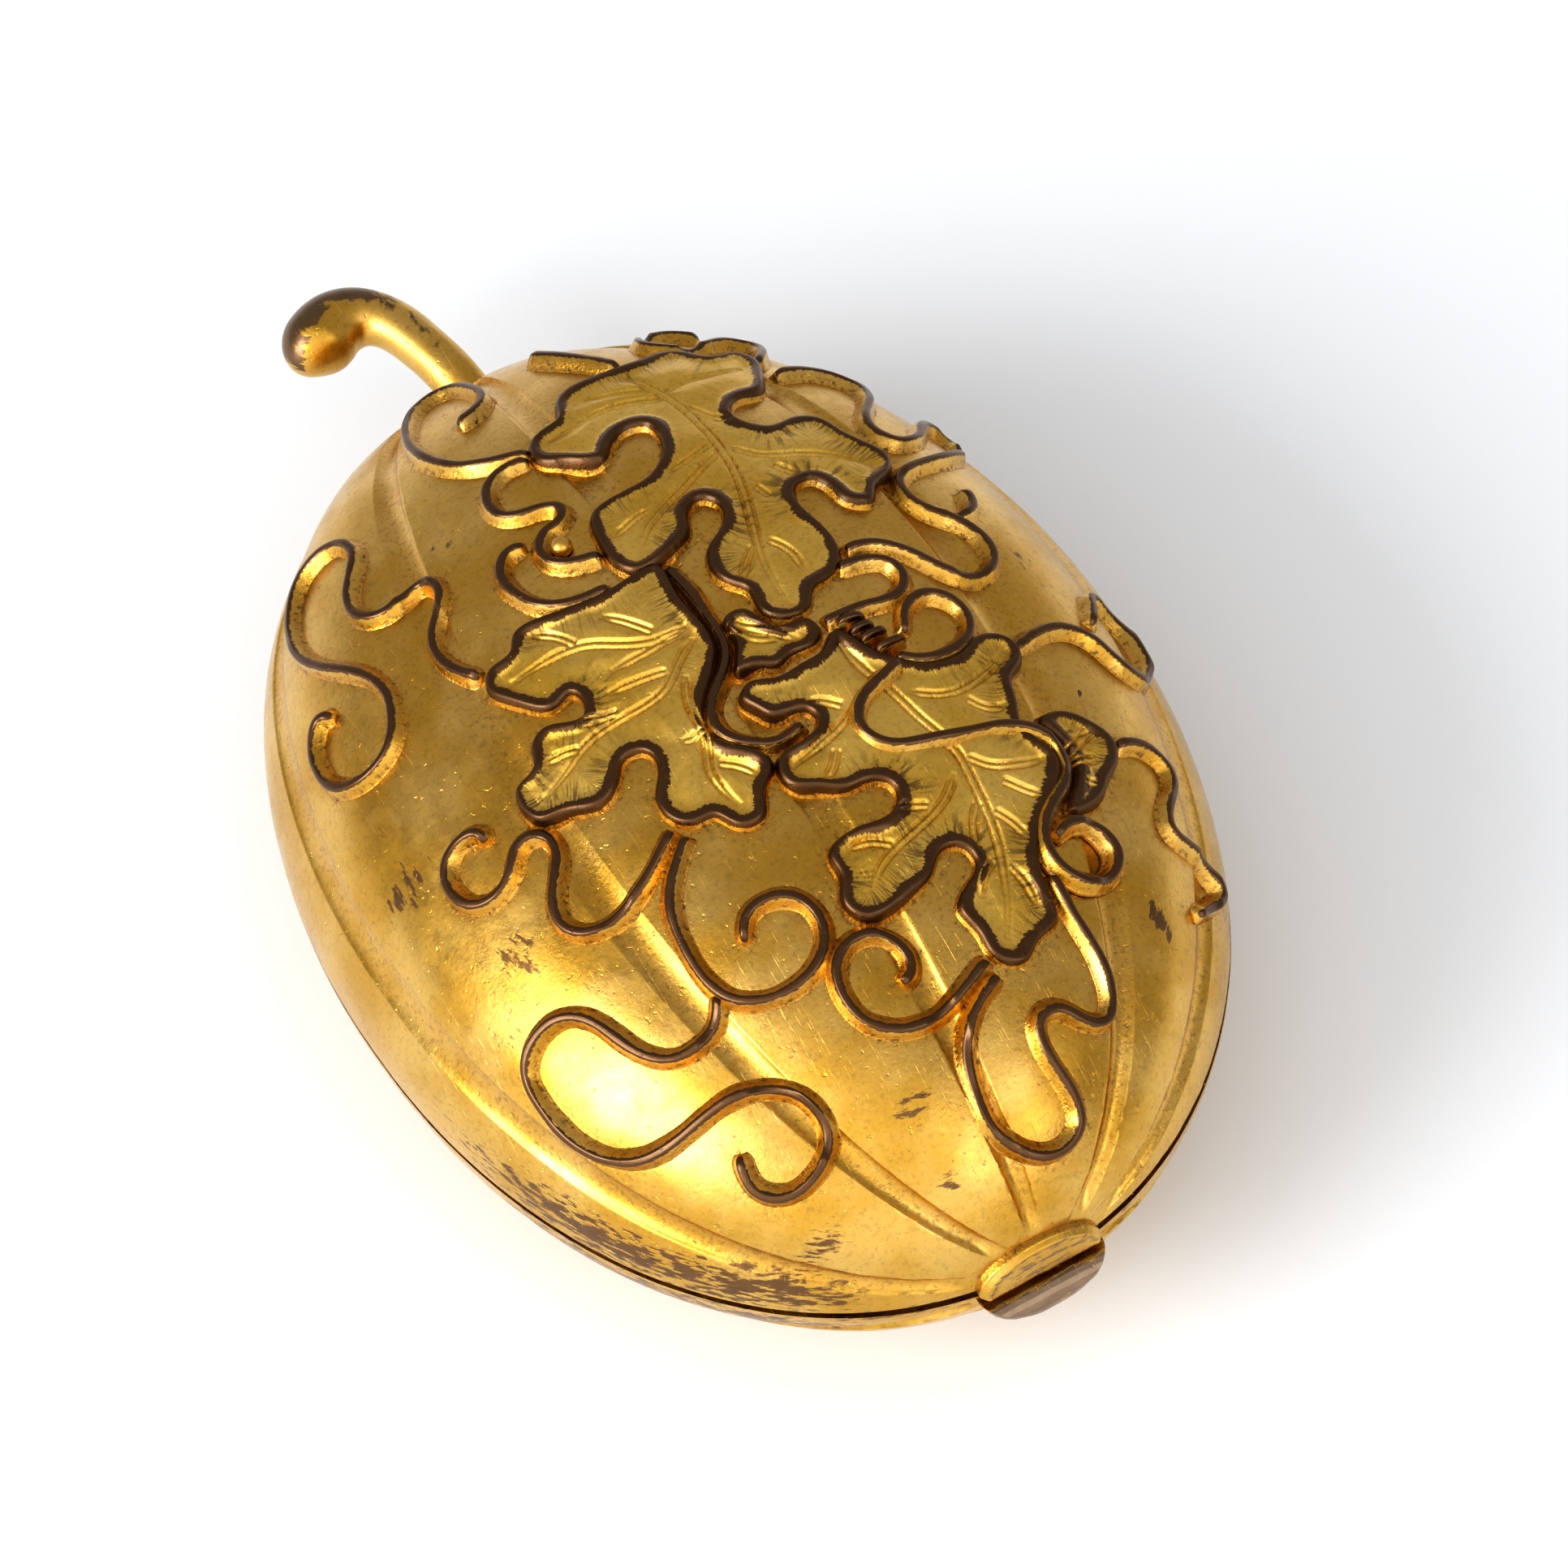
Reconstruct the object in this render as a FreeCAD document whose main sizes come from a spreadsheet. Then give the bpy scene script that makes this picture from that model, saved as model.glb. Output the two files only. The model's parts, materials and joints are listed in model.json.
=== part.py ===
import FreeCAD, Part
import math
import os

from FreeCAD import Placement, Rotation, Vector

# Needle case: a gilt melon that opens on a hinge behind the stem.
# Millimetres. X runs across the case, Y from the blossom (front) to the stem (back), Z up.
# Every sub-part is drawn about the centre of the melon, at the seam, and its Placement lifts it
# so that the flat foot under the base stands on Z = 0.

# alias, value, what it drives
SIZES = (
    ("half_length", 40.0, "melon centre to its front or back end"),
    ("half_width", 29.0, "melon centre to its left or right side"),
    ("lid_rise", 19.1, "seam to the crown of the lid"),
    ("base_depth", 15.4, "seam to the lowest point of the full base"),
    ("fullness", 2.07, "exponent of the lengthways outline, 2 is an ellipse"),
    ("wall_thick", 1.3, "wall of both shells"),
    ("foot_inset", 0.5, "depth of the flat foot ground off the base"),
    ("seam_gap", 0.15, "gap between the rims at the hinge"),
    ("lid_ajar", 0.4, "degrees that the lid stands open at rest"),
    ("flute_radius", 1.1, "radius of the scraper that cuts a flute"),
    ("flute_depth", 0.35, "depth of a flute below the skin"),
    ("flute_reach", 38.0, "how far a flute runs from the centre, along Y"),
    ("hinge_setback", 0.2, "hinge axis in front of the back end"),
    ("barrel_radius", 1.2, "outside of the hinge knuckles"),
    ("barrel_length", 9.0, "length of the whole hinge barrel"),
    ("knuckle_gap", 0.1, "gap between two knuckles"),
    ("pin_radius", 0.5, "hinge pin"),
    ("pin_play", 0.04, "radial clearance of the lid knuckles on the pin"),
    ("pin_fit", 0.01, "radial clearance of the base knuckles on the pin"),
    ("notch_play", 0.15, "clearance of the shells round the barrel"),
    ("leaf_gauge", 0.6, "sheet of the hinge leaves"),
    ("leaf_drop", 3.6, "length of a hinge leaf from the seam"),
    ("leaf_start", 1.5, "root of a hinge leaf's strap from the seam"),
    ("leaf_lean", 22.0, "degrees that a strap leans to follow the wall"),
    ("tab_height", 1.4, "tab between a knuckle and its strap"),
    ("tab_start", 0.3, "near end of a tab from the seam"),
    ("tab_setback", 0.7, "back of a tab in front of the barrel"),
    ("tab_bite", 0.5, "how far a tab runs into its knuckle"),
    ("bezel_inset", 0.4, "bezel inside the inner face of the rim"),
    ("bezel_gauge", 0.7, "sheet of the bezel"),
    ("bezel_rise", 1.0, "bezel above the seam"),
    ("bezel_drop", 1.6, "bezel below the seam"),
    ("bezel_mouth", 1.0, "gap in the bezel beyond each end of the barrel"),
    ("boss_half_width", 4.4, "blossom boss, across"),
    ("boss_rise", 2.7, "upper half of the boss"),
    ("boss_drop", 2.4, "lower half of the boss"),
    ("boss_upper_reach", 2.0, "upper half in front of the shell"),
    ("boss_lower_reach", 3.0, "lower half in front of the shell"),
    ("boss_flat", 0.45, "worn flat on the front of the boss"),
    ("boss_root", 1.0, "depth that the boss is rooted in the shell"),
    ("stem_root_radius", 2.1, "stem where it leaves the base"),
    ("stem_tip_radius", 1.7, "stem where it meets the knob"),
    ("knob_radius", 2.3, "knob at the end of the stem"),
    ("wire_half_width", 0.6, "tendril, across the foot of its section"),
    ("wire_rise", 0.85, "tendril above the lid"),
    ("foil_thick", 0.6, "vine leaf above the lid"),
    ("solder_film", 0.01, "gap under the applied vine"),
    ("bead_radius", 0.75, "cast bead in the crook of a tendril"),
    ("bead_stand", 0.25, "middle of the bead above the skin"),
    ("binding_half_width", 0.42, "turn of the stalk's binding, across"),
    ("binding_rise", 1.0, "turn of the binding above the lid"),
    ("tongue_width", 3.0, "catch tongue and lug, across"),
    ("tongue_gauge", 0.4, "sheet of the catch tongue"),
    ("tongue_height", 4.8, "catch tongue, half above the seam"),
    ("tongue_setback", 2.5, "catch tongue behind the front end"),
    ("lug_size", 1.2, "catch lug, thick and tall"),
    ("lug_start", 1.25, "foot of the catch lug above the seam"),
    ("catch_play", 0.1, "tongue to lug"),
)

# Parametric angle of each flute round the Y axis, in degrees from the right-hand end of the seam.
LID_FLUTES = (19.2, 48.7, 87.4, 118.8, 158.2)
BASE_FLUTES = (-21.0, -54.0, -90.0, -126.0, -159.0)

# Middle of each tendril, seen from above, as the points that a smooth curve is drawn through.
TENDRILS = {
    "vine_stalk": ((3.9, 34.4), (5.2, 32.3), (6.6, 30.1), (7.8, 28.0)),
    "tendril_stem_curl": (
        (-3.4, 30.3), (-1.9, 30.7), (-0.7, 32.0), (-0.6, 34.2), (-1.6, 36.3), (-3.1, 36.6), (-4.7, 35.6),
        (-6.0, 33.4), (-6.6, 30.6), (-6.2, 27.8), (-4.9, 25.5), (-3.0, 24.2), (-0.9, 23.5)),
    "tendril_crook": (
        (-1.3, 22.8), (-3.0, 23.1), (-4.6, 22.4), (-5.4, 20.6), (-5.0, 19.0), (-3.9, 18.3), (-2.6, 17.9),
        (-1.8, 17.1), (-2.3, 16.2), (-3.6, 15.8), (-4.5, 14.9), (-4.5, 13.5), (-3.5, 12.4), (-1.4, 11.8)),
    "tendril_cradle": (
        (-5.1, 15.9), (-6.5, 15.9), (-7.5, 14.8), (-7.5, 12.6), (-6.6, 10.6), (-5.0, 9.4), (-2.2, 9.0)),
    "tendril_left_long": (
        (-12.4, 8.8), (-13.4, 10.8), (-13.7, 12.9), (-12.9, 14.9), (-11.6, 16.2), (-11.2, 17.5),
        (-12.0, 18.8), (-13.3, 18.7), (-14.6, 18.5), (-15.8, 19.4), (-16.1, 21.2), (-15.1, 23.3),
        (-13.9, 25.2), (-14.2, 27.5), (-15.9, 28.2), (-18.0, 27.2), (-19.6, 24.4), (-20.1, 21.3),
        (-19.3, 18.3), (-18.1, 15.8), (-17.5, 13.0), (-18.1, 10.6), (-19.7, 8.9), (-21.6, 8.9),
        (-23.1, 10.4), (-23.3, 12.8), (-22.5, 14.9), (-21.5, 15.6), (-20.9, 15.0)),
    "tendril_left_short": (
        (-17.7, -1.8), (-17.8, -0.9), (-19.1, -0.4), (-20.5, -1.2), (-20.9, -3.0), (-20.1, -4.8),
        (-18.7, -5.3), (-17.3, -4.6), (-16.2, -3.6), (-15.0, -3.7), (-14.4, -4.9), (-15.0, -6.6),
        (-16.1, -8.2), (-16.5, -9.9), (-15.4, -11.6), (-13.6, -12.0), (-11.2, -11.4), (-7.7, -9.4)),
    "tendril_centre_spiral": (
        (-7.1, -10.3), (-8.9, -11.8), (-10.3, -13.6), (-10.9, -16.0), (-10.9, -18.6), (-10.1, -20.8),
        (-8.2, -22.2), (-5.8, -22.5), (-3.7, -21.6), (-2.8, -19.8), (-3.3, -17.9), (-4.9, -16.9),
        (-6.6, -17.1), (-7.6, -18.5)),
    "tendril_front_sweep": (
        (-10.7, -20.0), (-11.6, -21.3), (-13.2, -21.9), (-14.9, -21.5), (-16.2, -20.2), (-17.2, -18.0),
        (-18.2, -15.8), (-19.5, -14.6), (-21.1, -14.3), (-22.5, -15.0), (-22.9, -17.0), (-22.4, -20.0),
        (-21.1, -22.6), (-18.9, -24.6), (-16.4, -25.3), (-13.2, -25.6), (-10.7, -26.7), (-9.0, -28.9),
        (-9.2, -31.0), (-11.0, -31.9), (-13.1, -31.5), (-14.4, -29.9), (-14.2, -28.3)),
    "tendril_front_curl": (
        (-0.4, -25.7), (0.6, -25.2), (0.9, -23.9), (-0.1, -22.3), (-1.7, -21.9), (-3.3, -22.7),
        (-4.0, -24.7), (-3.4, -26.8), (-1.6, -28.1), (0.8, -28.3), (3.2, -27.5), (5.3, -26.6)),
    "tendril_front_loop": (
        (5.4, -27.7), (3.2, -28.8), (1.3, -30.7), (0.5, -33.2), (0.6, -35.5), (2.0, -36.9), (4.2, -37.1),
        (5.8, -36.1), (5.9, -34.2), (5.7, -32.4), (6.3, -30.9), (7.8, -30.7), (9.0, -31.7), (10.3, -32.0),
        (11.5, -30.8), (12.0, -28.4), (11.8, -25.6), (11.9, -23.0)),
    "tendril_leaf_crossing": (
        (10.9, -5.9), (8.6, -6.9), (6.7, -8.1), (6.1, -9.8), (7.1, -11.4), (9.4, -12.1), (12.2, -12.5),
        (15.0, -12.9), (16.8, -14.2), (16.9, -16.2), (15.2, -18.1), (13.1, -20.0), (12.4, -22.0),
        (13.4, -23.9), (15.3, -24.1), (16.7, -22.7), (16.5, -20.8), (14.9, -20.2), (13.4, -20.9)),
    "tendril_mid_vine": (
        (1.5, 8.6), (1.9, 6.0), (1.9, 3.0), (1.6, 0.4), (0.1, -1.6), (-1.4, -3.3), (-1.7, -5.2),
        (-0.5, -6.8), (1.2, -7.5), (3.2, -7.3)),
    "tendril_right_sweep": (
        (12.2, 4.0), (14.1, 3.8), (15.9, 2.5), (17.2, 0.8), (18.6, -0.3), (20.2, -0.2), (21.3, 1.3),
        (21.2, 3.5), (20.0, 5.5), (18.9, 7.4), (19.1, 9.6), (20.7, 10.6), (23.0, 11.4), (24.9, 12.6)),
    "tendril_back_loop": (
        (25.2, 13.6), (25.2, 15.2), (24.4, 16.3), (23.2, 15.3), (22.2, 13.7), (20.8, 13.3), (19.8, 14.6),
        (20.1, 16.7), (21.3, 18.9), (21.3, 21.4), (19.5, 23.0), (16.8, 23.3)),
    "tendril_side_bud": ((20.9, 5.1), (21.7, 5.4), (22.4, 6.4), (22.4, 7.8)),
    "tendril_back_curl": (
        (15.0, 31.6), (13.1, 33.0), (11.0, 32.2), (10.8, 30.4), (12.4, 29.3), (14.6, 29.4), (16.6, 29.4),
        (17.6, 27.9), (17.1, 26.2), (16.4, 25.1)),
    "tendril_knot_loop": (
        (11.0, 2.7), (12.7, 2.7), (14.3, 1.9), (14.5, 0.4), (13.4, -0.8), (11.0, -0.9), (8.0, -1.1)),
    "tendril_wrap_loop": (
        (12.3, -3.9), (13.4, -2.0), (15.0, -1.3), (16.5, -2.2), (16.8, -3.9), (15.8, -5.5), (13.9, -6.3),
        (12.0, -6.1), (10.8, -5.2)),
    "tendril_right_wave": (
        (18.7, -6.8), (20.4, -6.0), (22.4, -5.7), (24.0, -6.8), (24.8, -8.4), (26.0, -9.1), (27.2, -7.9),
        (27.8, -5.4), (27.2, -2.8), (26.4, -2.1), (25.6, -3.4), (24.8, -5.0)),
    "tendril_right_hook": (
        (20.9, -15.2), (22.4, -15.1), (23.6, -16.3), (23.2, -18.0), (21.8, -19.8), (21.4, -21.4),
        (22.8, -22.4), (23.1, -23.7), (22.1, -25.1), (20.2, -26.3)),
}

# Lobed outline of each vine leaf, seen from above, drawn as a closed smooth curve.
LEAVES = {
    "leaf_upper": (
        (7.8, 28.1), (5.5, 28.0), (3.9, 27.9), (2.5, 26.8), (1.8, 25.3), (0.4, 24.9), (-0.9, 23.8),
        (-0.9, 22.0), (0.4, 20.8), (1.3, 20.0), (2.6, 19.6), (3.5, 20.5), (5.2, 21.4), (6.5, 20.9),
        (6.6, 18.9), (5.4, 16.9), (3.9, 16.0), (1.4, 15.9), (-0.5, 15.2), (-1.1, 13.2), (-1.2, 10.6),
        (-0.4, 9.1), (1.2, 8.9), (2.9, 9.5), (4.1, 10.2), (4.9, 11.9), (6.1, 12.5), (7.0, 11.4),
        (6.3, 9.5), (4.7, 8.3), (3.9, 6.4), (4.3, 4.9), (5.1, 3.7), (5.0, 1.8), (6.0, 0.5), (7.8, 0.6),
        (8.8, 1.9), (10.4, 2.4), (11.8, 4.0), (11.9, 6.4), (11.5, 9.0), (12.2, 10.7), (13.4, 10.9),
        (14.2, 9.7), (14.7, 8.1), (16.0, 7.6), (17.0, 8.9), (18.5, 9.9), (19.3, 11.6), (18.6, 13.3),
        (17.8, 14.6), (16.9, 16.6), (15.2, 17.2), (13.4, 16.8), (12.2, 17.7), (11.8, 19.4), (12.8, 20.6),
        (14.6, 20.9), (15.9, 22.9), (16.4, 25.1), (15.3, 26.8), (13.6, 26.6), (12.7, 27.7), (10.8, 28.5),
        (9.2, 28.2)),
    "leaf_left": (
        (1.2, 8.7), (-1.8, 8.8), (-5.0, 9.1), (-7.5, 9.8), (-9.2, 9.7), (-10.0, 8.7), (-11.6, 8.6),
        (-12.5, 7.3), (-11.9, 5.7), (-10.9, 4.1), (-9.6, 3.1), (-8.4, 3.3), (-7.9, 2.2), (-8.5, 1.2),
        (-9.5, 1.5), (-10.9, 2.2), (-12.2, 1.6), (-12.8, 0.3), (-14.3, -0.1), (-14.9, -1.7),
        (-14.2, -3.5), (-12.6, -4.1), (-10.8, -5.0), (-9.1, -4.4), (-7.9, -3.2), (-6.5, -3.6),
        (-6.3, -5.1), (-7.4, -6.8), (-7.4, -8.8), (-6.2, -9.9), (-5.1, -10.1), (-4.0, -11.7),
        (-2.4, -11.9), (-1.4, -10.3), (-0.2, -9.2), (-0.1, -8.2), (-1.5, -6.4), (-2.4, -4.6), (-1.9, -3.0),
        (-0.4, -1.3), (1.1, 0.6), (1.3, 3.5), (1.2, 6.5)),
    "leaf_small": (
        (2.6, 2.4), (4.0, 2.5), (4.6, 1.4), (5.4, 0.0), (7.1, -0.2), (7.5, -1.4), (6.5, -2.3), (5.0, -2.3),
        (3.8, -2.6), (2.4, -2.0), (1.3, -1.8), (1.8, -0.6), (2.4, 0.7)),
    "leaf_lower": (
        (8.3, -1.9), (7.0, -2.9), (5.2, -3.3), (3.2, -3.4), (1.5, -2.8), (0.5, -3.6), (0.9, -4.9),
        (1.6, -6.0), (3.8, -6.6), (4.0, -7.6), (2.2, -8.4), (0.5, -8.7), (-0.1, -9.9), (0.2, -11.2),
        (1.5, -12.0), (3.2, -12.9), (5.0, -13.1), (5.9, -14.2), (5.2, -15.5), (3.4, -15.7), (1.5, -15.5),
        (-0.2, -16.5), (-0.3, -18.0), (-1.0, -19.4), (-0.4, -21.1), (1.2, -21.5), (3.2, -21.0),
        (4.8, -20.4), (6.1, -19.3), (7.6, -19.5), (7.9, -20.9), (6.5, -22.0), (5.3, -23.2), (5.6, -25.0),
        (5.7, -26.6), (7.2, -27.5), (8.8, -26.6), (10.6, -25.8), (11.1, -23.6), (12.0, -21.2),
        (13.7, -19.2), (15.8, -17.2), (16.6, -15.2), (15.7, -13.2), (16.3, -11.0), (17.0, -9.2),
        (18.5, -7.9), (18.5, -6.2), (16.8, -5.5), (14.6, -6.6), (12.4, -6.6), (10.6, -5.4), (9.4, -3.6)),
    "leaf_side": (
        (17.1, -12.7), (18.4, -12.2), (20.1, -13.3), (20.9, -14.9), (20.3, -16.4), (18.9, -17.8),
        (17.4, -19.2), (15.4, -19.4), (16.7, -17.6), (17.6, -15.6), (17.2, -13.9)),
}

# Where the bead in the crook of a tendril stands, seen from above.
BEAD = (-3.3, 14.1)

# Turns of the binding that ties the lower leaf's stalk: both ends of each turn.
BINDING = (
    ((8.5, -1.6), (10.6, -1.9)),
    ((8.9, -2.6), (10.8, -2.7)),
    ((9.2, -3.5), (11.3, -3.4)),
    ((9.7, -4.6), (12.1, -4.4)),
)

# Middle of the stem, from its root inside the base to the knob.
STEM = (
    (3.4, 34.2, -5.6), (2.5, 39.2, -4.1), (2.0, 41.8, -2.7), (1.4, 44.6, -1.4), (0.6, 47.8, -0.8),
    (-0.3, 50.2, -0.6), (-1.7, 52.1, -0.5), (-3.6, 52.7, -0.4), (-5.2, 51.9, -0.4),
)

# Middle of the knob that ends the stem.
STEM_KNOB = (-5.7, 51.3, -0.35)

doc = FreeCAD.newDocument("needle_case")
sheet = doc.addObject("Spreadsheet::Sheet", "sizes")


def fill_sheet():
    """Write the driving dimensions, one per row: name, value, note."""
    for row, (alias, value, note) in enumerate(SIZES, start=1):
        sheet.set(f"A{row}", alias)
        sheet.set(f"B{row}", str(value))
        sheet.set(f"C{row}", note)
        sheet.setAlias(f"B{row}", alias)
    doc.recompute()


fill_sheet()


def size(alias):
    """Read one driving dimension."""
    return float(sheet.get(alias))


def bind(item, **formulas):
    """Tie properties of a document object to spreadsheet cells."""
    for name, formula in formulas.items():
        item.setExpression(name.replace("__", "."), formula)


# ---------------------------------------------------------------- the melon's own geometry

def girth(along):
    """Share of the full girth that the melon has at a distance along Y."""
    share = abs(along) / size("half_length")
    return max(0.0, 1.0 - share ** size("fullness")) ** (1.0 / size("fullness"))


def lid_skin(across, along):
    """Point on the lid above a place seen from above, and the outward normal there."""
    wide = size("half_width")
    rise = size("lid_rise")
    power = size("fullness")
    share = abs(along) / size("half_length")
    height = rise * math.sqrt(max(0.0, girth(along) ** 2 - (across / wide) ** 2))
    slope = (1.0 - share ** power) ** (2.0 / power - 1.0) * share ** (power - 1.0)
    normal = Vector(across / wide ** 2, math.copysign(slope / size("half_length"), along), height / rise ** 2)
    return Vector(across, along, height), normal.normalize()


def melon_half(rise, growth=0.0):
    """Solid half melon above (rise > 0) or below the seam, grown by a skin thickness."""
    long_radius = size("half_length") + growth
    wide_radius = size("half_width") + growth
    tall_radius = abs(rise) + growth
    power = size("fullness")
    steps = 24
    rim = []
    for step in range(steps + 1):
        turn = math.pi * step / steps
        along = -long_radius * math.copysign(abs(math.cos(turn)) ** (2.0 / power), math.cos(turn))
        rim.append(Vector(wide_radius * math.sin(turn) ** (2.0 / power), along, 0.0))
    rim[0].x = 0.0
    rim[-1].x = 0.0
    curve = Part.BSplineCurve()
    curve.interpolate(rim, InitialTangent=Vector(1, 0, 0), FinalTangent=Vector(-1, 0, 0))
    outline = Part.Wire([curve.toShape(), Part.makeLine(rim[-1], rim[0])])
    sweep = -180.0 if rise > 0 else 180.0
    half = Part.Face(outline).revolve(Vector(0, 0, 0), Vector(0, 1, 0), sweep)
    squash = FreeCAD.Matrix()
    squash.scale(Vector(1.0, 1.0, tall_radius / wide_radius))
    return half.transformGeometry(squash)


def flute_tool(angle, rise):
    """Round scraper swept along one meridian, just biting into the skin."""
    radius = size("flute_radius")
    reach = size("flute_reach")
    wide = size("half_width") * math.cos(math.radians(angle))
    tall = abs(rise) * math.sin(math.radians(angle))
    lift = radius - size("flute_depth")
    outward = Vector(wide, 0, tall).normalize()
    path = []
    for step in range(-12, 13):
        along = reach * math.sin(math.pi * step / 24)
        stand = girth(along) + lift / Vector(wide, 0, tall).Length
        path.append(Vector(wide * stand, along * (1.0 + lift / size("half_length")), tall * stand))
    spine = Part.BSplineCurve()
    spine.interpolate(path)
    tangent = spine.tangent(spine.FirstParameter)[0]
    ring = Part.Wire(Part.makeCircle(radius, path[0], tangent))
    return Part.Wire(spine.toShape()).makePipeShell([ring], True, False)


def hinge_notch():
    """Room that both rims leave round the hinge barrel."""
    play = size("notch_play")
    length = size("barrel_length") + 2.0 * play
    centre = size("half_length") - size("hinge_setback")
    radius = size("barrel_radius") + play
    groove = Part.makeCylinder(radius, length, Vector(-length / 2, centre, 0), Vector(1, 0, 0))
    slot = Part.makeBox(length, 4.0, 2.0 * size("barrel_radius"),
                        Vector(-length / 2, centre - 2.8, -size("barrel_radius")))
    return groove.fuse(slot)


def shell(rise, angles):
    """Hollow fluted half of the melon with a notch for the hinge."""
    skin = melon_half(rise)
    hollow = melon_half(rise, -size("wall_thick"))
    tools = [flute_tool(angle, rise) for angle in angles]
    return skin.cut([hollow, hinge_notch()] + tools)


# ---------------------------------------------------------------- placing and naming

def lift():
    """Placement that raises the seam frame so the foot stands on Z = 0."""
    return Placement(Vector(0, 0, size("base_depth") - size("foot_inset")), Rotation())


def lid_swing():
    """Placement of everything on the lid: lifted, and standing slightly ajar on the hinge."""
    hinge = Vector(0, size("half_length") - size("hinge_setback"), 0)
    ajar = Placement(Vector(0, 0, 0), Rotation(Vector(-1, 0, 0), size("lid_ajar")), hinge)
    return lift().multiply(ajar)


def add_shape(name, shape, placement):
    """Put a computed solid into the document."""
    item = doc.addObject("Part::Feature", name)
    item.Label = name
    item.Shape = shape
    item.Placement = placement
    return item


def boolean(kind, name, base, tool):
    """Part::Cut or Part::Common of two document objects."""
    item = doc.addObject(kind, name)
    item.Label = name
    item.Base = base
    item.Tool = tool
    return item


def fuse(name, items):
    """Part::MultiFuse of several document objects."""
    item = doc.addObject("Part::MultiFuse", name)
    item.Label = name
    item.Shapes = items
    return item


# ---------------------------------------------------------------- shells and bezel

def make_base_shell():
    """Lower half with the foot ground flat."""
    depth = size("base_depth")
    below = Part.makeBox(100, 120, 10, Vector(-50, -60, size("foot_inset") - depth - 10))
    return add_shape("base_shell", shell(-depth, BASE_FLUTES).cut(below), lift())


def make_lid_shell():
    """Upper half, its rim a seam gap above the base."""
    rim = Part.makeBox(100, 120, size("seam_gap"), Vector(-50, -60, 0))
    return add_shape("lid_shell", shell(size("lid_rise"), LID_FLUTES).cut(rim), lid_swing())


def ellipse_prism(name, inset):
    """Upright elliptical prism as tall as the bezel, its sides a given inset from the skin."""
    ring = doc.addObject("Part::Ellipse", name + "_ring")
    bind(ring, MajorRadius=f"sizes.half_length - ({inset})", MinorRadius=f"sizes.half_width - ({inset})")
    prism = doc.addObject("Part::Extrusion", name)
    prism.Base = ring
    prism.Dir = Vector(0, 0, 1)
    prism.Solid = True
    bind(prism, LengthFwd="sizes.bezel_rise", LengthRev="sizes.bezel_drop")
    ring.Placement = Placement(Vector(0, 0, 0), Rotation(Vector(0, 0, 1), 90))
    return prism


def make_base_bezel():
    """Standing rim inside the base that guides the lid shut, open at the hinge."""
    outside = ellipse_prism("bezel_outside", "sizes.wall_thick + sizes.bezel_inset")
    inside = ellipse_prism("bezel_inside", "sizes.wall_thick + sizes.bezel_inset + sizes.bezel_gauge")
    gap = doc.addObject("Part::Box", "bezel_gap")
    bind(gap, Length="sizes.barrel_length + 2 * sizes.bezel_mouth", Width="6",
         Height="sizes.bezel_rise + sizes.bezel_drop")
    bind(gap, Placement__Base__x="-sizes.barrel_length / 2 - sizes.bezel_mouth",
         Placement__Base__y="sizes.half_length - 5",
         Placement__Base__z="-sizes.bezel_drop")
    ring = boolean("Part::Cut", "bezel_ring", outside, inside)
    bezel = boolean("Part::Cut", "base_bezel", ring, gap)
    bezel.Placement = lift()
    return bezel


# ---------------------------------------------------------------- hinge

def knuckle(name, place, bore):
    """One tube of the barrel; place counts the five knuckles from the left."""
    pitch = "sizes.barrel_length / 5"
    tube = doc.addObject("Part::Cylinder", name + "_tube")
    hole = doc.addObject("Part::Cylinder", name + "_bore")
    bind(tube, Radius="sizes.barrel_radius", Height=f"{pitch} - sizes.knuckle_gap")
    bind(hole, Radius=bore, Height=f"{pitch} - sizes.knuckle_gap")
    for item in (tube, hole):
        item.Placement.Rotation = Rotation(Vector(0, 1, 0), 90)
        bind(item, Placement__Base__x=f"-sizes.barrel_length / 2 + {place} * {pitch} + sizes.knuckle_gap / 2",
             Placement__Base__y="sizes.half_length - sizes.hinge_setback")
    return tube, hole


def knuckle_tab(name, place, side):
    """Short tab that joins one knuckle to its leaf; side is +1 on the lid and -1 on the base."""
    pitch = "sizes.barrel_length / 5"
    tab = doc.addObject("Part::Box", name + "_tab")
    bind(tab, Length=f"{pitch} - sizes.knuckle_gap", Width="sizes.leaf_gauge + sizes.tab_bite",
         Height="sizes.tab_height",
         Placement__Base__x=f"-sizes.barrel_length / 2 + {place} * {pitch} + sizes.knuckle_gap / 2",
         Placement__Base__y="sizes.half_length - sizes.hinge_setback - sizes.barrel_radius - sizes.tab_setback",
         Placement__Base__z="sizes.tab_start" if side > 0 else "-sizes.tab_start - sizes.tab_height")
    return tab


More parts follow.
